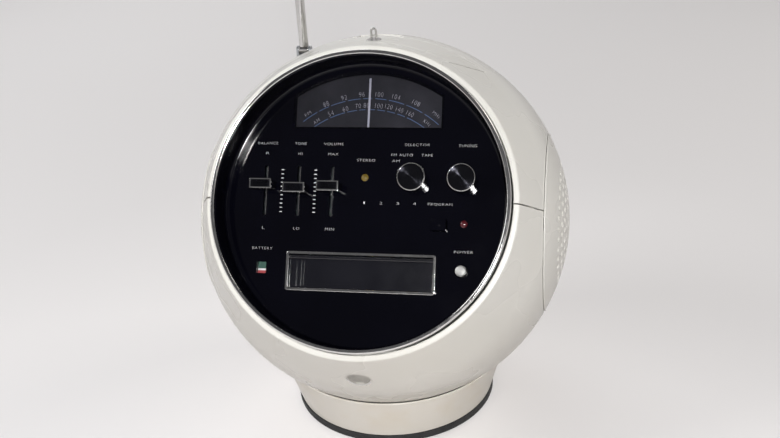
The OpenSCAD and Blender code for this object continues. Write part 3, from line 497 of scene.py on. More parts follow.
WHITE = shell_finish("shell_white", (0.66, 0.65, 0.615), (0.645, 0.63, 0.585), 0.27)
DRUM_WHITE = shell_finish("drum_white", (0.68, 0.655, 0.61), (0.65, 0.62, 0.565), 0.32, (24, 7))
PANEL = finish("panel_black", (0.0012, 0.0012, 0.003), 0.07, vary=0.15, patch=18, grain=300, bump=0.004,
               rough_vary=0.02, gloss=0.19)
KNOB_BLACK = finish("knob_black", (0.003, 0.003, 0.005), 0.055, vary=0.2, grain=500, bump=0.004,
                    rough_vary=0.01)
BLACK_PLASTIC = finish("black_plastic", (0.018, 0.018, 0.021), 0.42, vary=0.15, bump=0.12)
CHROME = finish("chrome_plate", (0.62, 0.61, 0.6), 0.1, metal=1, vary=0.05, patch=80, bump=0.02,
                rough_vary=0.04, fleck=(0.42, 0.38, 0.33))
STEEL = finish("steel_plain", (0.42, 0.43, 0.45), 0.38, metal=1)
ZINC = finish("zinc_sheet", (0.52, 0.51, 0.45), 0.4, metal=0.8, vary=0.12, patch=45, bump=0.08)
CAST = finish("dark_stampings", (0.1, 0.105, 0.115), 0.5, metal=0.4, vary=0.15, patch=50, bump=0.2)
ALUMINIUM = finish("bare_aluminium", (0.56, 0.57, 0.58), 0.35, metal=1, vary=0.08, patch=70)
CELL = finish("cell_jacket", (0.08, 0.13, 0.24), 0.3, metal=0.5, patch=40, bump=0.04)
BRASS = finish("brass_plain", (0.55, 0.4, 0.18), 0.3, metal=1, vary=0.12, patch=90, bump=0.06)
BOARD = finish("board_green", (0.025, 0.11, 0.045), 0.35, vary=0.2, patch=110)
RUBBER = finish("rubber_black", (0.012, 0.012, 0.013), 0.72, vary=0.25, patch=90, grain=900, bump=0.5)
PAPER = finish("cone_paper", (0.028, 0.026, 0.024), 0.85, vary=0.25, patch=160, grain=700, bump=0.8)
IVORY = finish("ivory_plastic", (0.62, 0.6, 0.53), 0.45, vary=0.05, bump=0.08)
SCALE = finish("scale_grey", (0.0095, 0.009, 0.0095), 0.55, vary=0.12, bump=0.15)
POINTER = finish("pointer_white", (0.8, 0.8, 0.8), 0.35, vary=0.03, patch=90, bump=0.03)
PRINT = finish("print_white", (0.66, 0.66, 0.68), 0.5, vary=0.08, patch=300)
PRINT_GREY = finish("print_grey", (0.8, 0.79, 0.76), 0.5, vary=0.08, patch=300)
PRINT_BLUE = finish("print_blue", (0.13, 0.23, 0.4), 0.5, patch=300)
PRINT_RED = finish("print_red", (0.35, 0.035, 0.04), 0.5, patch=300)
PRINT_GREEN = finish("print_green", (0.02, 0.075, 0.055), 0.5, patch=300)
AMBER = finish("lens_amber", (0.12, 0.08, 0.008), 0.2, vary=0.15, patch=400, bump=0.06)
RED_LENS = finish("lens_red", (0.055, 0.004, 0.007), 0.2, vary=0.15, patch=400, bump=0.06)
NEEDLE = finish("needle_red", (0.4, 0.03, 0.025), 0.4, patch=300, bump=0.04)
SPUN_BLACK = spun_finish("spun_black", (0.05, 0.05, 0.06), 0.12, 0.97)
CAP_METAL = spun_finish("cap_metal", (0.16, 0.16, 0.155), 0.42, 0.3)
PANE = pane_finish("smoked_pane", (0.8, 0.8, 0.84), 1.28)
FLAP = finish("flap_black", (0.005, 0.005, 0.008), 0.14, vary=0.2, patch=20, grain=260, bump=0.008,
              rough_vary=0.02)


# ---- ball shells
def ball_skin():
    """Wall of the ball with its collar, lip and panel ledge."""
    outer = arc(ball_r, 180, collar_turn, 90)
    inner_z = panel_back - 3
    ledge_in_r = opening_r - 7
    inner = arc(in_r, degrees(acos(inner_z / in_r)), 180, 90)
    nose = fillet([(collar_r - 30, collar_d), (collar_r, collar_d), (lip_r, lip_d), (opening_r, lip_d),
                   (opening_r, panel_back), (ledge_in_r, panel_back), (ledge_in_r, inner_z)],
                  [0, 0, lip_round, 1.1, 0, 0, 0], 6)[2:]
    return solid(lathe(outer + nose + inner, 288), BALL)


def cap_cutter(place):
    """Takes off the ball beyond a round cover, with a chamfered rim."""
    rim = sqrt(ball_r ** 2 - cap_d ** 2)
    low, flare, past = cap_d - 1.1, 12, 9
    return solid(lathe([(0, cap_d), (rim - 0.7, cap_d), (rim + 0.5, low), (rim + flare, low + past),
                        (rim + flare, ball_r + past), (0, ball_r + past)], 192), place)


def handle_cutter(grow):
    """Block above the handle's lower face and outside the well, larger all round by grow."""
    outer = solid(box((-handle_half, handle_low - handle_gap - grow, handle_back - handle_gap - grow),
                      (handle_half, big, handle_front + handle_gap + grow)))
    core = solid(lathe(band(0, over_well_r - grow, 0, big), 192))
    return boolean(outer, [core])


def seam_cutter():
    """Shallow groove that softens both edges of the seam."""
    half = seam_gap / 2
    edge = half + 0.25
    deep, brim, past = ball_r - 0.3, ball_r + 0.1, ball_r + 9
    groove = [(deep, -half), (brim, -edge), (past, -edge), (past, edge), (brim, edge), (deep, half)]
    return solid(lathe(groove, 256), BALL @ turn_by(-90, "X"))


def shells():
    """Both half shells, with the walls and holes for what sits in them."""
    skin = ball_skin()
    liner = boolean(handle_cutter(pocket_wall), [globe(ball_r - 1, 60, BALL)], "INTERSECT")
    pit = solid(box((-pit_w / 2 - pit_wall, pit_low - pit_wall, pit_back - pit_wall),
                    (pit_w / 2 + pit_wall, ball_r - 14, handle_back + pit_wall)))
    cup = solid(lathe(band(0, whip_well_r + 2.5, whip_floor - 3, whip_pin - 4), 96), WHIP)
    boolean(skin, [liner, pit], "UNION")
    boolean(cup, [globe(ball_r - 1, 60, CENTRE)], "INTERSECT")
    boolean(skin, [cup], "UNION")
    sockets = [(0, socket_floor), (socket_r, socket_floor), (socket_r, socket_d), (socket_brim, socket_d),
               (socket_brim, beyond), (0, beyond)]
    cuts = [cap_cutter(RIGHT), cap_cutter(LEFT), cap_cutter(REAR), handle_cutter(0),
            solid(box((-pit_w / 2, pit_low, pit_back), (pit_w / 2, big, handle_back + 2), 1.5)),
            solid(lathe(band(0, whip_well_r, whip_floor, beyond), 96), WHIP),
            solid(lathe(sockets), CENTRE @ turn_by(socket_turn, "Z") @ turn_by(90, "Y"))]
    boolean(skin, cuts)
    lower = copy_of(skin)
    half = big / 2
    boolean(skin, [solid(box((-half, seam_gap / 2, -half), (half, big, half)))], "INTERSECT")
    boolean(skin, [seam_cutter()])
    white(skin, "upper_shell_skin", replaces=("upper_shell",))
    boolean(lower, [solid(box((-half, -big, -half), (half, -seam_gap / 2, half)))], "INTERSECT")
    boolean(lower, [seam_cutter()])
    boolean(lower, [solid(lathe(band(0, stud_hole_r, -ball_r - 1, -128), 64), CENTRE)])
    stepped = [(0, 100), (jack_hole_r, 100), (jack_hole_r, jack_seat), (jack_flange, jack_seat),
               (jack_flange, beyond), (0, beyond)]
    boolean(lower, [solid(lathe(stepped, 96), JACK)])
    white(lower, "lower_shell_skin", replaces=("lower_shell",))
    # ledges behind the round covers
    ledge, *others = [solid(lathe(band(ledge_in, ledge_r, ledge_low, ledge_top), 128), place)
                      for place in (RIGHT, LEFT, REAR)]
    boolean(ledge, others, "UNION")
    white(ledge, "cover_ledges")


def grille_drills():
    """Chamfered holes in rings of six, twelve and so on round a middle one."""
    drills = []
    for i in range(hole_rings):
        for j in range(max(1, 6 * i)):
            a = radians((60 / i * j + 30 * i) if i else 0)
            rho = hole_pitch * i
            surface = sqrt(ball_r ** 2 - rho ** 2)
            low, mouth = cap_d - 2, surface + 0.5
            drill = [(0, low), (hole_r, low), (hole_r, surface - 0.9), (hole_mouth_r, mouth), (0, mouth)]
            drills.append(moved(lathe(drill, 20), rho * cos(a), rho * sin(a)))
    return join(*drills)


def covers():
    """Speaker covers on both sides, and the battery door from the same profile."""
    rim_d = cap_d + cap_gap
    rim_r = sqrt(ball_r ** 2 - rim_d ** 2)
    top = degrees(atan2(rim_r, rim_d))
    inner_r = ball_r - cover_wall
    inner_top = degrees(acos(rim_d / inner_r))
    edge = [(rim_r - 0.25, rim_d + 0.12), (rim_r - 0.6, rim_d)] + arc(inner_r, inner_top, 0, 40)
    # thin bead just inside the edge
    bead_r, bead_at = 0.6, top - 0.45
    middle = (ball_r * sin(radians(bead_at)), ball_r * cos(radians(bead_at)))
    beaded = arc(ball_r, 0, bead_at - 0.3, 40) + arc(bead_r, bead_at - 90, bead_at + 90, 8, middle) + edge
    for side, place in (("right", RIGHT), ("left", LEFT)):
        dome = solid(lathe(beaded, 192), place)
        boolean(dome, [solid(grille_drills(), place)])
        white(dome, "grille_" + side, replaces=("speaker_grilles",))
        skirt = [(skirt_in, 120), (skirt_r, 120), (skirt_r, 125.6), (skirt_in, 126.6)]
        white(solid(lathe(skirt, 128), place), "grille_skirt_" + side)
    battery_door(arc(ball_r, 0, top - 0.25, 40) + edge)


def battery_door(profile):
    """Rear door with its hinge barrel and leaf, and the lugs that carry it."""
    door = solid(lathe(profile, 192), REAR)
    notch = solid(moved(lathe(band(0, 9, -8, 8), 64), turn=(90, "X")), at(0, cap_d, 69.1, CENTRE))
    boolean(door, [notch])
    barrel = lathe(fillet(band(1.3, hinge_r, -hinge_half, hinge_half), 0.3), 48)
    barrel = solid(moved(barrel, turn=(90, "Y")), HINGE)
    leaf = solid(box((-8.1, hinge_d - 1.5, -hinge_h + 1.4), (8.1, hinge_d + 2.4, -58), 0.5), CENTRE)
    boolean(leaf, [globe(ball_r - cover_wall, 80, CENTRE)])
    white(door, "battery_door_dome", "door", ("battery_door",))
    white(barrel, "battery_door_barrel", "door")
    white(leaf, "battery_door_leaf", "door")
    parts = []
    for x in (-lug_x, lug_x):
        eye = lathe(fillet(band(0, hinge_r, -2.2, 2.2), [0, 0.4, 0.4, 0]), 48)
        parts.append(moved(eye, x, turn=(90, "Y")))
        parts.append(box((x - 2.1, -6, -hinge_r + 1), (x + 2.1, 0, hinge_r - 1), 0.3))
    parts.append(moved(lathe(band(0, 1.2, -lug_x, lug_x), 32), turn=(90, "Y")))
    white(solid(join(*parts), HINGE), "hinge_lugs")


def handle():
    """Grip cut from the ball's form, its rods and the hanging eye."""
    lip = fillet([(collar_r, collar_d), (lip_r, lip_d), (0, lip_d)], [0, lip_round, 0])
    core = solid(lathe([(0, -ball_r), *arc(ball_r, 180, collar_turn, 90)[1:], *lip[1:]], 288))
    keep = solid(box((-handle_half, handle_low, handle_back), (handle_half, big, handle_front)))
    boolean(core, [keep], "INTERSECT")
    gouge = [solid(lathe(band(0, over_well_r + handle_gap, 0, big), 192)),
             solid(box((-pit_w / 2, 0, handle_back - 9), (pit_w / 2, handle_low + 20, handle_back + 9), 2)),
             solid(lathe(band(0, 5.6, -0.4, 20), 48), at(0, eye_y, ball_r, CENTRE))]
    boolean(core, gouge)
    white(core, "handle_grip", "handle", ("carry_handle",))
    rod = join(*[moved(lathe(fillet(band(0, rod_r, rod_low, handle_low + 1), [0, 0.5, 0, 0]), 48), x)
                 for x in (-rod_x, rod_x)])
    rod = moved(rod, turn=(-90, "X"))
    piece(solid(rod, at(0, 0, handle_back + 6)), "handle_rods", "handle", STEEL)
    eye = lathe(fillet(band(0, 5.5, 0, 1.2), [0, 0.2, 0.5, 0]), 64)
    loop = bmesh.new()
    loop_r, loop_low, loop_top = 1.8, 4.2, 7.4
    crown = [(loop_r * cos(radians(t)), loop_top + loop_r * sin(radians(t)))
             for t in range(0, 181, 15)]
    path = [(loop_r, 1), (loop_r, loop_low), *crown, (-loop_r, loop_low), (-loop_r, 1)]
    sweep(loop, [(x, 0, z) for x, z in path], 0.82)
    loop = solid(join(eye, loop), at(0, eye_y, ball_r - 0.4, CENTRE))
    bright(loop, "hanging_loop", "handle", ("hanging_eye",))


def sweep(bm, path, radius, segs=20):
    """Round bar along a path that lies in the x-z plane."""
    rings = []
    for i, p in enumerate(path):
        a = Vector(path[max(i - 1, 0)])
        b = Vector(path[min(i + 1, len(path) - 1)])
        along = (b - a).normalized()
        side = Vector((0, 1, 0))
        out = along.cross(side)
        rings.append([bm.verts.new(Vector(p) + radius * (cos(t) * side + sin(t) * out))
                      for t in [2 * pi * k / segs for k in range(segs)]])
    for low, high in zip(rings, rings[1:]):
        for k in range(segs):
            bm.faces.new((low[k], low[(k + 1) % segs], high[(k + 1) % segs], high[k]))
    bm.faces.new(rings[0])
    bm.faces.new(rings[-1])


# ---- base
def base():
    """Hollow drum with the bearing's seat and the ball's cup, on a ribbed foot."""
    top = ball_h - drum_top_d
    seat = top - bearing_down
    low_seat = seat - bearing_ledge_t
    floor = foot_h + floor_t
    slope = (drum_top_r - drum_low_r) / (top - foot_h)
    cup_r = ball_r + rim_gap
    rim_in = sqrt(cup_r ** 2 - drum_top_d ** 2)
    bearing_top = ball_h - sqrt(cup_r ** 2 - bearing_r ** 2)

    def inside(z):
        return drum_low_r - drum_wall + slope * (z - foot_h)

    profile = fillet([(stud_hole_r, foot_h), (drum_low_r, foot_h), (drum_top_r, top), (rim_in, top),
                      (bearing_r, bearing_top), (bearing_r, seat), (bearing_in - 1, seat),
                      (bearing_in - 1, low_seat), (inside(low_seat), low_seat), (inside(floor), floor),
                      (stud_hole_r, floor)],
                     [0, 0.8, 0.5, 0.2, 0, 0, 0, 0.3, 2, 3, 0])
    piece(solid(lathe(profile, 256), WORLD), "drum", "base", DRUM_WHITE, ("base_drum",))
    outer, inner = drum_low_r + 0.8, drum_low_r - 13
    foot = [(inner, 0.4), (inner + 0.4, 0)]
    for k in range(5):
        r = inner + 1.6 + 2.4 * k
        foot += [(r, 0), (r + 0.4, 0.5), (r + 0.8, 0.5), (r + 1.2, 0)]
    foot += [(outer - 0.9, 0), (outer - 0.25, 0.3), (outer, 1), (outer, foot_h - 0.9),
             (outer - 0.3, foot_h - 0.2), (outer - 0.9, foot_h), (inner, foot_h)]
    piece(solid(lathe(foot, 256), WORLD), "foot", "base", RUBBER, ("foot_ring",))


# ---- panel
def chrome_bezel():
    """Plated ring round the panel's well, its front edge turned inwards."""
    inner = ring_r - ring_t
    nose = inner - 1.2
    profile = fillet([(inner, panel_back), (ring_r, panel_back), (ring_r, ring_front), (nose, ring_front),
                      (nose, ring_front - 2.5), (inner, ring_front - 3.2)],
                     [0, 0, 1.3, 0.9, 0.4, 0.2], 7)
    bright(solid(lathe(profile, 288)), "bezel", replaces=("chrome_ring",))


def window_outline(grow):
    """Arched window: straight sides and foot, top on a circle round the panel's centre."""
    w, low, r = window_w + grow, window_low - grow, window_r + grow
    edge = degrees(asin(w / r))
    return [(-w, low), (w, low), *arc(r, edge, -edge, 40)]


def slot_outline(grow):
    """Outline of the cartridge slot, larger all round by grow."""
    return rectangle(2 * (slot_w + grow), slot_h + 2 * grow, 0, slot_y)


def panel_face():
    """Panel plate with its rim and openings, the window's pane and the slots' bright edges."""
    well_in = well_r - well_t
    profile = fillet([(0, panel_back), (well_r, panel_back), (well_r, well_front), (well_in, well_front),
                      (well_in, panel_d), (0, panel_d)], [0, 0, 0.2, 0.6, 3.5, 0], 8)
    face = solid(lathe(profile, 288))
    gap = 0.3
    openings = [rectangle(meter_w, meter_h, *meter_xy), slot_outline(slot_sleeve),
                fillet(rectangle(program_w + 2 * gap, program_h + 2 * gap, *program_xy), 1.2),
                circle(power_r + gap, *power_xy)]
    openings += [fillet(rectangle(2.6, slide_len, x, slide_y), 1.25) for x in slide_xs]
    openings += [circle(shaft_r + 0.5, x, knob_y) for x in (selector_x, tuning_x)]
    openings += [circle(lamp_r, *xy) for xy in (stereo_xy, red_xy)]
    cuts = [solid(plate(window_outline(0), panel_d - pane_t, panel_d + 1)),
            solid(plate(window_outline(-1.5), panel_back - 1, panel_d))]
    cuts += [solid(plate(outline, panel_back - 1, panel_d + 1)) for outline in openings]
    boolean(face, cuts)
    piece(face, "panel_plate", "ball", PANEL, ("front_panel",), 20)
    pane = solid(plate(window_outline(-0.12), panel_d - pane_t, panel_d - 0.2, 0.3))
    piece(pane, "window_pane", "ball", PANE, ("dial_window",))
    # bright edge seen inside each control slot
    low, high = slide_y - slide_len / 2 + 1, slide_y + slide_len / 2 - 1
    edge, *others = [solid(box((x + 0.55, low, panel_d - 0.6), (x + 1.15, high, panel_d - 0.05), 0.1))
                     for x in slide_xs]
    boolean(edge, others, "UNION")
    bright(edge, "slot_edges")


def word_mesh(text):
    """Flat mesh of a word, its strokes slightly thinned."""
    curve = bpy.data.curves.new("word", "FONT")
    curve.body = text
    curve.resolution_u = 3
    curve.space_character = 1.16
    curve.offset = -0.028
    word = new_object("word", curve)
    mesh = shown_mesh(word)
    bpy.data.objects.remove(word)
    bm = bmesh.new()
    bm.from_mesh(mesh)
    bpy.data.meshes.remove(mesh)
    return bm


def lettering(words, height, z, name, mat):
    """Printed words as (text, x, y, width, turn), each fitted to its measured width."""
    lift = 0.06
    parts = []
    for text, x, y, width, turn in words:
        bm = word_mesh(text)
        xs = [v.co.x for v in bm.verts]
        ys = [v.co.y for v in bm.verts]
        sx, sy = width / (max(xs) - min(xs)), height / (max(ys) - min(ys))
        mid = ((max(xs) + min(xs)) / 2, (max(ys) + min(ys)) / 2)
        for v in bm.verts:
            v.co = ((v.co.x - mid[0]) * sx, (v.co.y - mid[1]) * sy, 0)
        ext = bmesh.ops.extrude_face_region(bm, geom=list(bm.faces))
        for v in [g for g in ext["geom"] if isinstance(g, bmesh.types.BMVert)]:
            v.co.z = -lift
        parts.append(moved(bm, x, y, z + lift, (turn, "Z")))
    return piece(solid(join(*parts)), name, "ball", mat)


def printing():
    """Words and ticks on the panel, the dial's scales and the meter's bands."""
    print_t = 0.05
    labels = (("BALANCE", -72, 42.5, 14.8), ("TONE", -47.7, 42.4, 8.6), ("VOLUME", -23.5, 42.3, 14.1),
              ("R", -72, 35.2, 2.2), ("HI", -47.7, 35.1, 2.7), ("MAX", -23.5, 35, 7.1),
              ("L", -72, -18.7, 1.7), ("LO", -47.7, -18.7, 4.2), ("MIN", -23.5, -18.6, 6.4),
              ("STEREO", 0.4, 30.9, 13), ("SELECTOR", 36.6, 42.3, 17.5), ("FM AUTO", 26, 35, 15.2),
              ("AM", 21.8, 30.7, 5.1), ("TAPE", 43.8, 35, 7.9), ("TUNING", 72, 42, 12.6),
              ("1", 0.5, 0.6, 1), ("2", 12.5, 0.6, 2), ("3", 24.3, 0.6, 2), ("4", 36.2, 0.6, 2.1),
              ("PROGRAM", 54.2, 0.6, 16.9), ("BATTERY", -71.9, -33.3, 14.6), ("POWER", 71.7, -32.1, 13))
    lettering([(*label, 0) for label in labels], 1.7, panel_d, "panel_words", PRINT)
    tick_top, tick_step = 23.3, 3.02
    ticks = [plate(rectangle(1.8, 0.5, x, tick_top - tick_step * k), panel_d, panel_d + print_t)
             for x in (-59.9, -35.7) for k in range(11)]
    piece(solid(join(*ticks)), "panel_ticks", "ball", PRINT)

    def on_arc(text, x, y, width):
        return (text, x, y, width, -degrees(atan2(x, y)))

    numbers = [on_arc(*w) for w in (
        ("88", -32.1, 72.4, 4), ("92", -19, 77.1, 4), ("96", -6.1, 79.5, 4), ("100", 6.8, 79.6, 5.6),
        ("104", 19.1, 77.8, 5.6), ("108", 33.6, 73.4, 5.6), ("54", -28.1, 65.5, 4), ("60", -17.6, 69, 4),
        ("70", -8.4, 71.1, 3.8), ("80", -2.3, 71.7, 4), ("100", 6.8, 71.3, 5.4), ("120", 14, 70.6, 5.2),
        ("140", 21.9, 68.4, 5.2), ("160", 29.6, 65.6, 5.2))]
    lettering(numbers, 3.3, scale_face, "scale_numbers", PRINT_GREY)
    marks = [on_arc(*w) for w in (("FM", -45.1, 65.2, 4.6), ("MHz", 48.4, 65, 6.2), ("AM", -38.5, 59.7, 4.8),
                                  ("KHz", 42, 59.2, 5.4))]
    lettering(marks, 2.3, scale_face, "scale_units", PRINT_GREY)
    # broken arc lines under the numbers, each span in degrees from the pointer's middle
    half = 0.22
    upper = ((-39, -30), (-28.6, -23), (-21.6, -13.5), (-12, -5), (-3.6, 1.2), (3, 9), (10.4, 19), (20.4, 30),
             (31.5, 41))
    under = ((-38, -26), (-24.6, -15), (-13.6, -7.5), (-6.2, -2.5), (-1, 3.4), (4.8, 9.5), (11, 15.8),
             (17.2, 22.2), (23.6, 40))
    lines = []
    for radius, spans in ((76.6, upper), (68.5, under)):
        for a, b in spans:
            steps = max(3, int((b - a) / 1.5))
            outline = arc(radius + half, a, b, steps) + arc(radius - half, b, a, steps)
            lines.append(plate(outline, scale_face, scale_face + print_t))
    piece(solid(join(*lines)), "scale_arcs", "ball", PRINT_BLUE)
    # battery meter's printed bands behind its window
    x, y = meter_xy
    low = panel_back - 1.4
    bands = ((PRINT_GREEN, "green", -0.5, 4), (PRINT, "white", -1.9, -0.5), (PRINT_RED, "red", -4, -1.9))
    for mat, word, a, b in bands:
        bm = box((x - meter_w / 2, y + a, low), (x + meter_w / 2, y + b, low + 0.3))
        piece(solid(bm), "meter_band_" + word, "ball", mat)


# ---- controls
def slide_knobs():
    """Slide controls: a dark block with a bright rim and a dished face, on a stem."""
    front = panel_d + knob_out

    def block(less, corner, low, high, place, bevel=0):
        outline = fillet(rectangle(slide_w - less, slide_h - less), corner)
        return solid(plate(outline, low, high, bevel), place)

    for x, rest, body in zip(slide_xs, slide_rest, ("balance", "tone", "volume")):
        place = at(x, slide_y + rest, 0)
        knob = block(0.5, 0.8, panel_d + 0.6, front - 0.9, place, 0.2)
        boolean(knob, [block(3, 0.5, front - 1.6, front + 1, place)])
        piece(knob, body + "_knob", body, KNOB_BLACK, (body + "_slider",))
        rim = block(0, 0.7, front - 1.2, front, place, 0.3)
        boolean(rim, [block(2 * slide_rim, 0.3, front - 2, front + 1, place)])
        bright(rim, body + "_rim", body)
        dish = block(2 * slide_rim, 0.3, front - 1.7, front - 0.5, place)
        dish_r = 30
        scoop = moved(lathe(band(0, dish_r, -9, 9), 256), turn=(90, "X"))
        boolean(dish, [solid(moved(scoop, z=front + dish_r - 1), place)])
        piece(dish, body + "_face", body, KNOB_BLACK)
        stem = solid(box((-0.8, -2.5, 68), (0.8, 2.5, panel_d + 0.8), 0.2), place)
        boolean(stem, [solid(box((-3, -4, 65), (3, 4, 74), 0.3), place)], "UNION")
        piece(stem, body + "_stem", body, STEEL)


def round_knobs():
    """Selector and tuning knobs: black side, bright ring, spun face and shaft."""
    h, ring_in = knob_out, knob_r - 0.75
    side = fillet([(0, 0.8), (knob_r, 0.8), (knob_r, h - 0.9), (knob_r - 0.15, h - 0.9), (0, h - 0.9)],
                  [0, 0.5, 0.1, 0, 0])
    ring = fillet([(ring_in, h - 1.1), (knob_r, h - 1.1), (knob_r, h - 0.25), (knob_r - 0.3, h),
                   (ring_in, h)], [0, 0, 0.1, 0.1, 0.1])
    face_r = ring_in - 0.01
    face = [(0, h - 1.2), (face_r, h - 1.2), (face_r, h - 0.35), (3, h - 0.5), (0, h - 0.52)]
    for x, body in ((selector_x, "selector"), (tuning_x, "tuning")):
        place = at(x, knob_y, panel_d)
        turned(side, place, body + "_knob_side", body, KNOB_BLACK, (body + "_knob",))
        turned(ring, place, body + "_knob_ring", body, CHROME)
        turned(face, place, body + "_knob_face", body, SPUN_BLACK)
        turned(band(0, shaft_r, -20.4, 1), place, body + "_shaft", body, STEEL)


def turned(profile, place, name, body, mat, replaces=()):
    """A turned piece with its origin on its axis, where spun finishes have their centre."""
    obj = solid(lathe(profile), WORLD)
    obj.matrix_world = place
    return piece(obj, name, body, mat, replaces)


def buttons():
    """Push buttons, the lamps' lenses, the dial's bulbs, the meter's needle and the pointer."""
    end = board_face + 4.2 + 3
    front = panel_d + button_out
    block = solid(plate(fillet(rectangle(program_w, program_h), 1), end, front, 0.6), at(*program_xy, 0))
    bulge = lathe([(0, -20), *arc(60, 180, 160, 16)[1:], (20.5, -40)], 96)
    boolean(block, [solid(moved(bulge, z=front + 59.5), at(*program_xy, 0))])
    piece(block, "program_cap", "program", PANEL, ("program_button",), 20)
    h = front - end
    cap = fillet([(0, 0), (power_r, 0), (power_r, h), (power_r - 0.9, h - 0.35), (0, h - 0.2)],
                 [0, 0, 0.45, 0.3, 0])
    turned(cap, at(*power_xy, end), "power_cap", "power", CAP_METAL, ("power_button",))
    lens_r = lamp_r - 0.05
    for xy, mat, word in ((stereo_xy, AMBER, "amber"), (red_xy, RED_LENS, "red")):
        dome = [(0, 0), (lens_r, 0), (lens_r, 3), (lamp_r - 0.5, 3.35), (lamp_r * 0.5, 3.8), (0, 3.95)]
        lens = solid(lathe(dome, 48), at(*xy, panel_back))
        piece(lens, "lens_" + word, "ball", mat, ("lamps",), 40)
    bulbs = [moved(lathe(fillet(band(0, 3, 0, 13), [0, 0, 2.5, 0]), 32), x, window_low + 14, board_face)
             for x in (-30, 30)]
    piece(solid(join(*bulbs)), "dial_bulbs", "ball", IVORY)
    needle = join(lathe(band(0, 0.8, 5.2, 12.2), 24), box((-0.5, 0, 11.2), (0.5, 10, 12.2), 0.15))
    piece(solid(needle, at(meter_xy[0], meter_xy[1] - 5, board_face)), "needle_arm", "needle",
          NEEDLE, ("meter_needle",))
    hand = join(box((-0.7, 0, 0), (0.7, 91, 0.8), 0.15), lathe(band(0, 4, 0, 0.8), 48),
                lathe(band(0, 1.5, -17.5, 0.2), 24))
    piece(solid(hand, at(0, 0, scale_face + 0.6)), "pointer_hand", "pointer", POINTER,
          ("dial_pointer",))


def cartridge_door():
    """Slot frame with its sleeve, and the flap with its pin and shallow steps."""
    rim = solid(plate(fillet(slot_outline(frame_w), 2.2), panel_d, panel_d + frame_out, 0.7, 4))
    sleeve = solid(plate(slot_outline(slot_sleeve), panel_back, panel_d + 0.1))
    axis = at(0, flap_y, flap_z)

    def along_axis(inner, outer, half, segs):
        return solid(moved(lathe(band(inner, outer, -half, half), segs), turn=(90, "Y")), axis)

    pin = along_axis(0, 1, slot_w + 0.4, 32)
    boolean(rim, [sleeve], "UNION")
    boolean(rim, [solid(plate(slot_outline(0), panel_back - 1, panel_d + 4))])
    bright(rim, "slot_frame", replaces=("cartridge_frame",))
    bright(pin, "flap_pin")
    low, left, right = slot_y - slot_h / 2, -slot_w, slot_w
    sheet = solid(box((left + 0.4, low + 0.4, flap_z - 0.8), (right - 0.4, flap_y, flap_z + 0.8), 0.25))
    knuckle = along_axis(flap_pin_r, 1.8, slot_w - 0.4, 48)
    cuts = [solid(box((left + a, low + 1.6, flap_z + 0.35), (left + b, flap_y - 2.4, flap_z + 2)))
            for a, b in ((5.6, 6.5), (9.0, 9.6))]
    cuts.append(solid(box((left + 11, low + 2.2, flap_z + 0.5), (right - 4, flap_y - 2.8, flap_z + 2))))
    cuts.append(along_axis(0, flap_pin_r, 60, 32))
    boolean(sheet, [knuckle], "UNION")
    boolean(sheet, cuts)
    piece(sheet, "flap_sheet", "flap", FLAP, ("cartridge_flap",))


def phones_socket():
    """Headphone jack: bright flange, dark face, bright barrel and closed back."""
    seat, flange = jack_seat, jack_flange - 0.1
    barrel_r, lip, back_z = jack_hole_r - 0.05, 3.85, jack_seat - 14.9
    ring = fillet([(7.5, seat), (flange, seat), (flange, ball_r - 0.2), (flange - 0.8, ball_r + 0.1),
                   (7.8, ball_r - 0.1), (7.5, ball_r - 0.6)], [0, 0, 0.3, 0.5, 0.3, 0.2], 5)
    bright(solid(lathe(ring, 96), JACK), "jack_ring", replaces=("phones_jack",))
    face = fillet([(3.9, seat), (7.6, seat), (7.6, seat + 0.5), (6.4, seat + 0.1), (4.9, seat + 0.1),
                   (4.3, seat + 0.9), (3.9, seat + 0.9)], [0, 0, 0.1, 0.4, 0.3, 0.2, 0.2])
    piece(solid(lathe(face, 96), JACK), "jack_face", "ball", RUBBER)
    low = back_z - 0.1
    barrel = [(jack_bore_r, low), (barrel_r, low), (barrel_r, seat - 0.1), (lip, seat - 0.1),
              (lip, seat + 1.1), (jack_bore_r, seat + 1.3)]
    bright(solid(lathe(barrel, 64), JACK), "jack_barrel")
    piece(solid(lathe(band(0, 5.9, back_z - 1.5, back_z), 64), JACK), "jack_back", "ball",
          BLACK_PLASTIC)


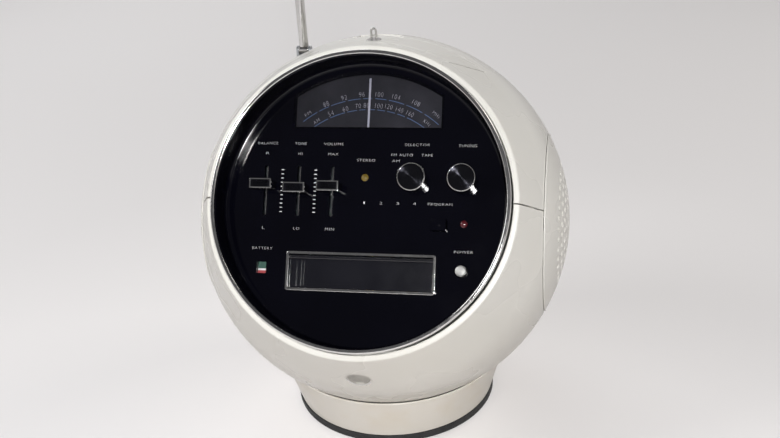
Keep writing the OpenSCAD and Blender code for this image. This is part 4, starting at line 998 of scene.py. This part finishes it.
# ---- antenna
def antenna():
    """Outer tube and knuckle, turret with fork, and the tip on its stalk."""
    top = whip_pin + whip_l
    heel, bore, stop = whip_pin + 3, 3, whip_pin + 10.5
    tube = fillet([(0, heel), (whip_r, heel), (whip_r, top), (bore, top), (bore, stop), (0, stop)],
                  [0, 0, 0.35, 0.1, 0, 0])
    bright(solid(lathe(tube, 64), WHIP), "whip_outer", "whip_1", ("antenna_tube",))
    eye = moved(lathe(fillet(band(1.55, 3.45, -3.4, 3.4), 0.3), 48), turn=(90, "Y"))
    bright(solid(eye, at(whip_x, whip_y, whip_pin, CENTRE)), "whip_knuckle", "whip_1")
    peg, low, high, turret_r = whip_floor - 2.5, whip_floor + 0.3, whip_floor + 12.3, 9
    turret = fillet([(0, peg), (5, peg), (5, low), (turret_r, low), (turret_r, high), (0, high)],
                    [0, 0.3, 0, 0.4, 1.2, 0])
    cheek = [(-4.2, high - 0.3), (4.2, high - 0.3), *[(x, whip_pin + y) for x, y in arc(3.1, 80, -80, 24)]]
    cheeks = [moved(moved(plate(cheek, 0, 1.7, 0.3), turn=(90, "X")), side, turn=(90, "Z"))
              for side in (3.8, -5.5)]
    pin = moved(lathe(fillet(band(0, 1.5, -6, 6), [0, 0.4, 0.4, 0]), 32), z=whip_pin, turn=(90, "Y"))
    fork = solid(join(lathe(turret, 96), pin, *cheeks), WHIP)
    piece(fork, "whip_fork", "whip_foot", STEEL, ("antenna_swivel",))
    tip = lathe(fillet(band(0, 2.85, top + 4.3, top + 9.3), [0, 0.3, 1.0, 0]), 48)
    stalk = lathe(band(0, 1.85, whip_pin + 14, top + 4.4), 32)
    bright(solid(join(tip, stalk), WHIP), "whip_tip", "whip_4", ("antenna_tip",))


# ---- carried-over CAD nodes
def carried_over():
    """Finishes for the CAD nodes that are shown as they are."""
    wear = (
        (STEEL, "swivel_stud slide_pots motor panel_screws flywheel solenoid_plunger"),
        (BRASS, "selector_switch capstan_bearing motor_pulley head_carriage"),
        (BLACK_PLASTIC, "bearing_ring push_switches battery_meter solenoid battery_can power_sockets"),
        (ALUMINIUM, "cartridge_tray tuning_gang tuning_rotor"), (IVORY, "dial_lightbox ratchet_cam"),
        (CHROME, "antenna_middle antenna_upper"), (CAST, "transformer speaker_frames"), (SCALE, "dial_scale"),
        (ZINC, "chassis"), (BOARD, "main_board"), (RUBBER, "drive_belt"), (PAPER, "speaker_cones"),
        (CELL, "battery_cells"))
    for mat, names in wear:
        for name in names.split():
            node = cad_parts[name]
            node.data.materials.clear()
            node.data.materials.append(mat)


# ---- stage, light and camera
def seen_directly(tree):
    """One where the eye, a mirror or glass looks at a thing, nought where it only gives light."""
    path = tree.nodes.new("ShaderNodeLightPath")
    seen = path.outputs["Is Camera Ray"]
    for kind in ("Is Glossy Ray", "Is Transmission Ray"):
        either = tree.nodes.new("ShaderNodeMath")
        either.operation = "MAXIMUM"
        tree.links.new(seen, either.inputs[0])
        tree.links.new(path.outputs[kind], either.inputs[1])
        seen = either.outputs[0]
    return seen


def stage():
    """Pale floor, studio world and four lamps."""
    bm = bmesh.new()
    bmesh.ops.create_grid(bm, x_segments=1, y_segments=1, size=6)
    mesh = bpy.data.meshes.new("floor")
    bm.to_mesh(mesh)
    bm.free()
    floor = new_object("floor", mesh)
    n = Nodes("floor_paper")
    n.put(roughness=0.9)
    seen = seen_directly(n.tree)
    n.feed("Base Color", n.mix(seen, (0.40, 0.36, 0.33), (0.86, 0.84, 0.84)))
    # the far floor keeps its pale colour where the lamps don't reach
    far = n.add("ShaderNodeVectorMath", operation="LENGTH")
    n.link(n.coords, far.inputs[0])
    glow = n.math("MULTIPLY", seen, n.spread(far.outputs["Value"], 0, 0.5, 0.5, 4))
    n.feed("Emission Strength", glow)
    n.shader.inputs["Emission Color"].default_value = (1, 0.98, 0.98, 1)
    mesh.materials.append(n.mat)
    studio_world()
    lamp("flash", (0.24, -1.12, 0.78), (0.14, 0.10), 16)
    lamp("front_left", (-1.35, -0.45, 1.25), (0.9, 0.8), 11)
    lamp("side", (1.35, 0.75, 1.3), (0.7, 0.7), 8, (1, 0.96, 0.91))
    lamp("rear", (-0.9, 1.5, 1.5), (1.2, 1), 12)


def studio_world():
    """Pale horizon under a dim sky, so that the black panel has little to mirror."""
    world = bpy.data.worlds.new("studio")
    bpy.context.scene.world = world
    world.use_nodes = True
    tree = world.node_tree
    back = tree.nodes["Background"]
    coords = tree.nodes.new("ShaderNodeTexCoord")
    split = tree.nodes.new("ShaderNodeSeparateXYZ")
    ramp = tree.nodes.new("ShaderNodeValToRGB")
    ramp.color_ramp.interpolation = "EASE"
    stops = ((0.12, (0.88, 0.86, 0.86, 1)), (0.42, (0.13, 0.13, 0.135, 1)))
    for element, (position, colour) in zip(ramp.color_ramp.elements, stops):
        element.position = position
        element.color = colour
    tree.links.new(coords.outputs["Generated"], split.inputs[0])
    tree.links.new(split.outputs["Z"], ramp.inputs["Fac"])
    tree.links.new(ramp.outputs["Color"], back.inputs["Color"])
    # full strength as a background and in reflections, less as light on the object
    strength = tree.nodes.new("ShaderNodeMapRange")
    strength.inputs["To Min"].default_value = 0.38
    strength.inputs["To Max"].default_value = 1.0
    tree.links.new(seen_directly(tree), strength.inputs["Value"])
    tree.links.new(strength.outputs["Result"], back.inputs["Strength"])


def lamp(name, place, size, power, colour=(1, 1, 1)):
    """Area lamp turned towards the middle of the ball."""
    data = bpy.data.lights.new(name, "AREA")
    data.shape = "RECTANGLE"
    data.size, data.size_y = size
    data.energy = power
    data.color = colour
    obj = new_object(name, data)
    obj.location = place
    target = Vector((0, 0, 0.15))
    obj.rotation_euler = (target - Vector(place)).to_track_quat("-Z", "Y").to_euler()


def camera():
    """Camera at the photo's angle, with its roll and a small aim offset."""
    turn, rise, roll = (radians(a) for a in (12.006, 25.772, 3.913))
    distance, focal_px, image_w, sensor_w = 0.7983, 1020.2, 780, 36
    aim_x, aim_y = 0.00069, 0.00448
    back = Vector((sin(turn) * cos(rise), -cos(turn) * cos(rise), sin(rise)))
    right = (-back).cross(Vector((0, 0, 1))).normalized()
    up = right.cross(-back)
    rows = Matrix((right, up, back))
    aim = Matrix.Rotation(aim_y, 3, "Y") @ Matrix.Rotation(aim_x, 3, "X")
    rows = aim @ Matrix.Rotation(roll, 3, "Z") @ rows
    data = bpy.data.cameras.new("camera")
    data.sensor_width = sensor_w
    data.lens = focal_px * sensor_w / image_w
    data.clip_start, data.clip_end = 0.01, 50
    cam = new_object("camera", data)
    eye = Vector((0, 0, ball_h * MM)) + back * distance
    cam.matrix_world = Matrix.Translation(eye) @ rows.transposed().to_4x4()
    bpy.context.scene.camera = cam


shells()
covers()
handle()
base()
chrome_bezel()
panel_face()
printing()
slide_knobs()
round_knobs()
buttons()
cartridge_door()
phones_socket()
antenna()
carried_over()
stage()
camera()
bpy.context.scene.view_settings.view_transform = "Standard"
